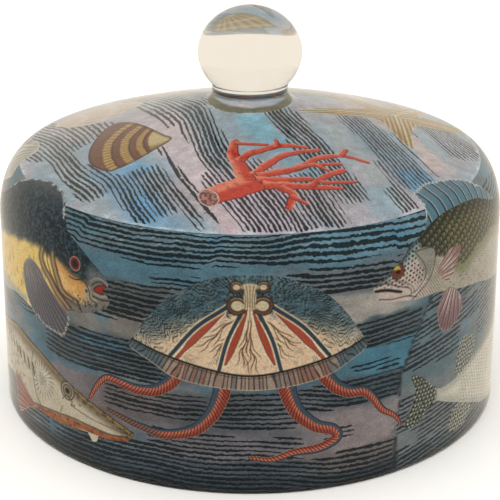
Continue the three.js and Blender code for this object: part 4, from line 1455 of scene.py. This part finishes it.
def crab_shell(p, edge):
    """An orange shell with a crease and two eyes."""
    x, u = (p - CRAB_CENTRE).T
    ink = Ink(p, "b0522f", "d07d4c", step(np.hypot(x / 24, (u - 3) / 13), 1, 0.1))
    ink.wash("6e2a1a", step(fractal(x / 2.2, u / 2.2, 181), 0.6, 0.72) * 0.7)
    ink.line(on_crab([(-12, 4), (-4, -4), (0, -8), (4, -4), (12, 4)]), 0.8, "5a2216", 0.8)
    for side in (-1, 1):
        ink.dot(*on_crab([(7, 13.5)], side), 1.4, 1.4, "17120f")
    ink.wash("4a1c12", step(edge, 1.0, 0.3))
    return ink.hatched(p[:, 1] * 0.7, 0.2)


def crab_limb(p, edge):
    """An orange limb with a dark edge."""
    ink = Ink(p, "a44a2a", "cf7f50", step(edge, 0.6, 2.2))
    ink.wash("4a1c12", step(edge, 0.7, 0.25))
    return ink.hatched(p[:, 0] * 0.9, 0.25)


crab = Cutout("crab_cutout", wall_place, 0.55)
for side in (-1, 1):
    for line, start, end in CRAB_LIMBS:
        crab.part(ribbon(on_crab(line, side), start, end), crab_limb, UNDER)
crab.part(smooth(on_crab(CRAB) + on_crab(CRAB[-2:0:-1], -1)), crab_shell).make()


def ribbed(root, tints, ribs, edge_tint):
    """A painter for shells whose ribs spread from one place."""

    def painter(p, edge):
        angle, reach = polar(p, root)
        ink = Ink(p, tints[0], tints[1], 0.5 + 0.5 * np.sin(angle * ribs))
        ink.wash(tints[2], 0.5 * step(np.sin(reach / 2.4), 0.3, 0.9))
        ink.wash(edge_tint, step(edge, 0.9, 0.3))
        return ink.hatched(angle * ribs * 0.6, 0.3)

    return painter


LIMPET = [
    (-168, 118), (-172, 123), (-179, 130), (-187, 134), (-202, 132), (-211, 122), (-204, 113), (-186, 111),
]
limpet = ribbed((-176, 150), ("e2ded2", "a5a196", "f6f3ea"), 40, "f0ece0")
add_figure("limpet_cutout", wall_place, LIMPET, limpet)

# The crown's figures.
# Each branch: its line, its widths at root and tip.
CORAL = (
    ([(-19, -89), (-8, -84), (4, -77)], 11.5, 12.5), ([(-1, -78), (-5, -65), (-8, -55), (-7, -45)], 8, 3.4),
    ([(-7, -47), (0, -48), (8, -48)], 2.8, 2.0),
    ([(-5, -62), (0, -56), (7, -52), (15, -48), (26, -48)], 4.6, 2.6),
    ([(2, -73), (10, -62), (18, -55), (32, -49)], 4.8, 2.4),
    ([(4, -74), (22, -66), (32, -56), (44, -51), (55, -53)], 5, 2.2), ([(13, -49), (12, -44)], 2.6, 2.2),
    ([(42, -52), (45, -45)], 3, 2.6), ([(20, -67), (30, -62), (42, -59)], 3.2, 2),
    ([(30, -62), (36, -66)], 2.6, 2), ([(4, -77), (16, -76), (28, -74)], 5, 2.6),
    ([(6, -81), (27, -80), (41, -79)], 6, 2.6), ([(27, -80), (35, -70), (43, -64)], 3.4, 3),
    ([(32, -76), (38, -75), (48, -72)], 3, 2), ([(13, -82), (19, -87), (17, -97)], 4.6, 3),
    ([(18, -88), (25, -93)], 3, 2),
)


def coral_branch(line):
    """A painter for a branch, lit along its left side and dark along its right."""
    centre = stroke(line)

    def painter(p, edge):
        d, _, side = to_line(p, centre)
        ink = Ink(p, "e24a33", "ff9878", step(d * side, -0.5, 2.6))
        ink.wash("a42c1d", 0.35 * patches(p, 2.0, 2.0, 191, 0.55, 0.7))
        ink.wash("74180f", step(edge, 0.8, 0.3) * (side < 0) * 0.9)
        ink.wash("f3b7a2", step(edge, 0.45, 0.15) * (side > 0) * 0.7)
        return ink.hatched(0.8 * p.sum(1), 0.12)

    return painter


def coral_end(p, edge):
    """The rough cut end of the coral's stem."""
    ink = Ink(p, "c58f85", "7b4a44", patches(p, 1.1, 1.1, 193, 0.45, 0.6))
    ink.wash("e3cfc6", step(edge, 0.8, 0.4))
    return ink.hatched()


coral = Cutout("coral_cutout", crown_place)
for k, (line, start, end) in enumerate(CORAL):
    (x0, y0), (x1, y1) = line[-2:]
    tip = (x1 + (x1 - x0) * 0.02, y1 + (y1 - y0) * 0.02)
    strip = ribbon([*line[:-1], tip], start * 1.12, end * 1.2, 0.15 if start > 7 else 0.45)
    coral.part(strip, coral_branch(line), 0.004 * k)
cos, sin = np.cos(np.arange(48) * np.pi / 24), np.sin(np.arange(48) * np.pi / 24)
end_ring = np.c_[-18.4 + 3.8 * cos - 3.0 * sin, -89.4 + 2.6 * cos + 5.9 * sin]
coral.part(end_ring, coral_end, 0.075).make()

BANDED = [
    (-37, -37), (-41, -31), (-45, -25), (-52, -14), (-59, -5), (-67, -1), (-73, -10), (-77, -29), (-75, -46),
    (-66, -57), (-60, -56), (-53, -52), (-45, -45),
]


def banded_shell(p, edge):
    """A brown shell with bands of gold round its tip."""
    dx, dy = (p - (-34.0, -37.0)).T
    reach = np.hypot(dx, dy)
    angle = np.arctan2(dx * 0.24 - dy * 0.97, -dx * 0.97 - dy * 0.24)
    bow = reach - 2.0 * (1 - np.cos(angle * 2.2)) + 0.7 * (noise(angle * 9, reach / 6, 205) - 0.5)
    ink = Ink(p, "7a4630", "99603f", cloud(p, 3, 3, 201))
    for near, far in ((16, 19.5), (23, 27.5), (31.5, 36)):
        gold = step(bow, near - 0.4, near + 0.4) * step(bow, far + 0.4, far - 0.4)
        ink.wash("bd8c3e", gold)
        ink.wash("e6c983", gold * step(np.sin(angle * 70), -0.2, 0.6) * 0.85)
        ink.wash("4b2617", step(np.abs(bow - near), 0.8, 0.25) * 0.7)
    tip = step(bow, 14.4, 13.4)
    ink.wash("dbc994", tip)
    ink.wash("8e7c3c", tip * step(-dy + dx * 0.25, -2, 3) * 0.8)
    ink.wash("4a2a1c", step(edge, 2.0, 0.3) * 0.65)
    return ink.hatched(angle * 26, 0.3 * (1 - tip))


add_figure("banded_shell_cutout", crown_place, BANDED, banded_shell)

PALE = [
    (-101, 32), (-96, 22), (-89, 14), (-77, 10), (-65, 17), (-57, 25), (-56, 36), (-64, 48), (-80, 52),
    (-94, 44),
]
pale_shell = ribbed((-104, 30), ("ecdcca", "d6c0ae", "f6ecdf"), 30, "f3e9dc")
add_figure("pale_shell_cutout", crown_place, PALE, pale_shell)

STARFISH = [
    (23, -12.5), (32, -10), (43, -6), (52, 0), (61, 3), (66, 0), (70, -12), (74, -22), (78, -28),
    (79.5, -18), (80, -8), (83, 8), (88, 14), (97, 17), (108, 23), (118, 29), (106, 36), (96, 38), (89, 38),
    (90, 48), (94, 60), (92, 68), (84, 60), (78, 50), (72, 40), (64, 38), (52, 44), (40, 47), (44, 38),
    (54, 28), (58, 21), (48, 10), (36, 0),
]
STAR_CENTRE = (74.0, 22.0)
STAR_ARMS = ((24, -12), (78, -27), (117, 29), (92, 67), (41, 46))


def starfish(p, edge):
    """Ochre with a pale line and fine stripes down each arm."""
    nearest, count = np.full(len(p), 1e9), np.zeros(len(p))
    for tip in STAR_ARMS:
        d, s, side = to_line(p, np.array([STAR_CENTRE, tip]))
        count = np.where(d < nearest, side * d * 0.42 + s * 0.03, count)
        nearest = np.minimum(nearest, d)
    ink = Ink(p, "c49a4c", "e0c387", cloud(p, 4, 4, 211))
    # Painted reflection: the half towards the front is a deeper gold, and the far arms are left paler, as
    # the glass's reflection makes them look.
    ink.wash("b98226", 0.6 * step(-p[:, 1], 0, 12))
    ink.wash("e6d6a0", step(nearest, 2.6, 0.4) * 0.8)
    ink.wash("8a6228", 0.4 * stripes(count, 0.28, 0.08))
    ink.wash("e0d5b8", step(edge, 1.1, 0.35))
    return ink.hatched(count, 0.55)


add_figure("starfish_cutout", crown_place, STARFISH, starfish)

turn = np.radians(np.linspace(-50, 44, 12))
fan = 42 * (0.86 + 0.14 * np.cos(2 * turn))
SCALLOP = [(10, 46), *zip(10 + fan * np.sin(turn), 46 + fan * np.cos(turn))]
scallop = ribbed((10, 44), ("a98f5f", "cdbd92", "ebe0c8"), 26, "4a3f30")
add_figure("scallop_cutout", crown_place, SCALLOP, scallop, 0.55)

NAUTILUS = [
    (-34, 62), (-30, 74), (-34, 88), (-46, 96), (-60, 92), (-66, 80), (-62, 72), (-69, 66), (-60, 60),
    (-46, 57),
]


def nautilus(p, edge):
    """A cream shell with brown flames and a spiral line."""
    angle, reach = polar(p, (-48.0, 77.0))
    ink = Ink(p, "d5c3a4", "bfa985", cloud(p, 5, 5, 221))
    ink.wash("8a4a2c", step(np.sin(angle * 9 + reach * 0.35), 0.25, 0.6) * step(reach, 5, 8) * 0.85)
    whorl = np.abs(((np.log(np.maximum(reach, 0.5)) * 3.2 - angle) / (2 * np.pi)) % 1 - 0.5)
    ink.wash("3a2a20", step(whorl, 0.47, 0.49))
    ink.wash("3a2a20", step(edge, 0.8, 0.3))
    return ink.hatched(angle * 20, 0.2)


add_figure("nautilus_cutout", crown_place, NAUTILUS, nautilus, 0.55)

# ---------------------------------------------------------------- floor, light and camera


FLOOR_SIDES = 96


def floor(name, inner, outer, through):
    """A pale floor ring; what lies past its glass shows it only where through is set."""
    angle = np.linspace(0, 2 * np.pi, FLOOR_SIDES + 1)[:-1]
    rings = [np.c_[r * np.sin(angle), -r * np.cos(angle), 0 * angle] for r in (inner, outer)]
    mesh = bpy.data.meshes.new(name)
    mesh.from_pydata(np.vstack(rings).tolist(), [], grid_faces(2, FLOOR_SIDES, True).tolist())
    tree = Tree(name)
    tree.shade(Base_Color=(0.9, 0.895, 0.885, 1), Roughness=0.9)
    mesh.materials.append(tree.material)
    obj = bpy.data.objects.new(name, mesh)
    bpy.context.scene.collection.objects.link(obj)
    obj.visible_glossy = obj.visible_transmission = through


WHITE, IVORY = (1.03, 1.03, 1.03, 1), (0.92, 0.84, 0.73, 1)
WARM = (1.35, 1.35 * 0.985, 1.35 * 0.95, 1)


def studio():
    """Even light from all round: white to the camera, ivory in the glass, warm on the papers."""
    world = bpy.data.worlds.new("studio")
    bpy.context.scene.world = world
    world.use_nodes = True
    nodes, links = world.node_tree.nodes, world.node_tree.links

    def either(choice, no, yes):
        """One colour where choice is 0, another where it is 1."""
        node = nodes.new("ShaderNodeMix")
        node.data_type = "RGBA"
        links.new(choice, node.inputs["Factor"])
        for socket, value in ((node.inputs[6], no), (node.inputs[7], yes)):
            if isinstance(value, tuple):
                socket.default_value = value
            else:
                links.new(value, socket)
        return node.outputs[2]

    path = nodes.new("ShaderNodeLightPath").outputs
    bounced = nodes.new("ShaderNodeMath")
    bounced.operation = "GREATER_THAN"
    bounced.inputs[1].default_value = 0.5
    links.new(path["Diffuse Depth"], bounced.inputs[0])
    colour = either(path["Is Camera Ray"], either(bounced.outputs[0], IVORY, WARM), WHITE)
    links.new(colour, nodes["Background"].inputs["Color"])


def key_light(place, target, size, power, tint):
    """A square light aimed at a target, not seen in the glass."""
    light = bpy.data.lights.new("key", "AREA")
    light.size = size
    light.energy = power
    light.color = tint
    obj = bpy.data.objects.new("key", light)
    obj.location = place
    obj.rotation_euler = (Vector(target) - Vector(place)).to_track_quat("-Z", "Y").to_euler()
    obj.visible_glossy = obj.visible_transmission = False
    bpy.context.scene.collection.objects.link(obj)


def camera(place, tilt, lens):
    """A camera that looks down at the dome by a tilt in degrees."""
    data = bpy.data.cameras.new("camera")
    data.lens = lens
    data.sensor_width = 36
    obj = bpy.data.objects.new("camera", data)
    obj.location = place
    obj.rotation_euler = Euler((np.radians(90 - tilt), 0, 0))
    bpy.context.scene.collection.objects.link(obj)
    bpy.context.scene.camera = obj


def grade(black_level):
    """Plain colours with slightly deeper blacks."""
    settings = bpy.context.scene.view_settings
    settings.view_transform = "Standard"
    settings.use_curve_mapping = True
    settings.curve_mapping.black_level = black_level
    settings.curve_mapping.update()


# The glass stands on the inner ring; the two rings meet under its foot.
FOOT_RADIUS = 0.1262
floor("floor_under_dome", inner=0.0005, outer=FOOT_RADIUS, through=True)
floor("floor", inner=FOOT_RADIUS, outer=3.0, through=False)
studio()
key_light(place=(-1.1, -1.0, 1.5), target=(0, 0, 0.08), size=1.6, power=8, tint=(1, 0.97, 0.93))
camera(place=(0, -0.7011, 0.3469), tilt=21.64, lens=105.3)
grade(black_level=(0.033, 0.029, 0.025))
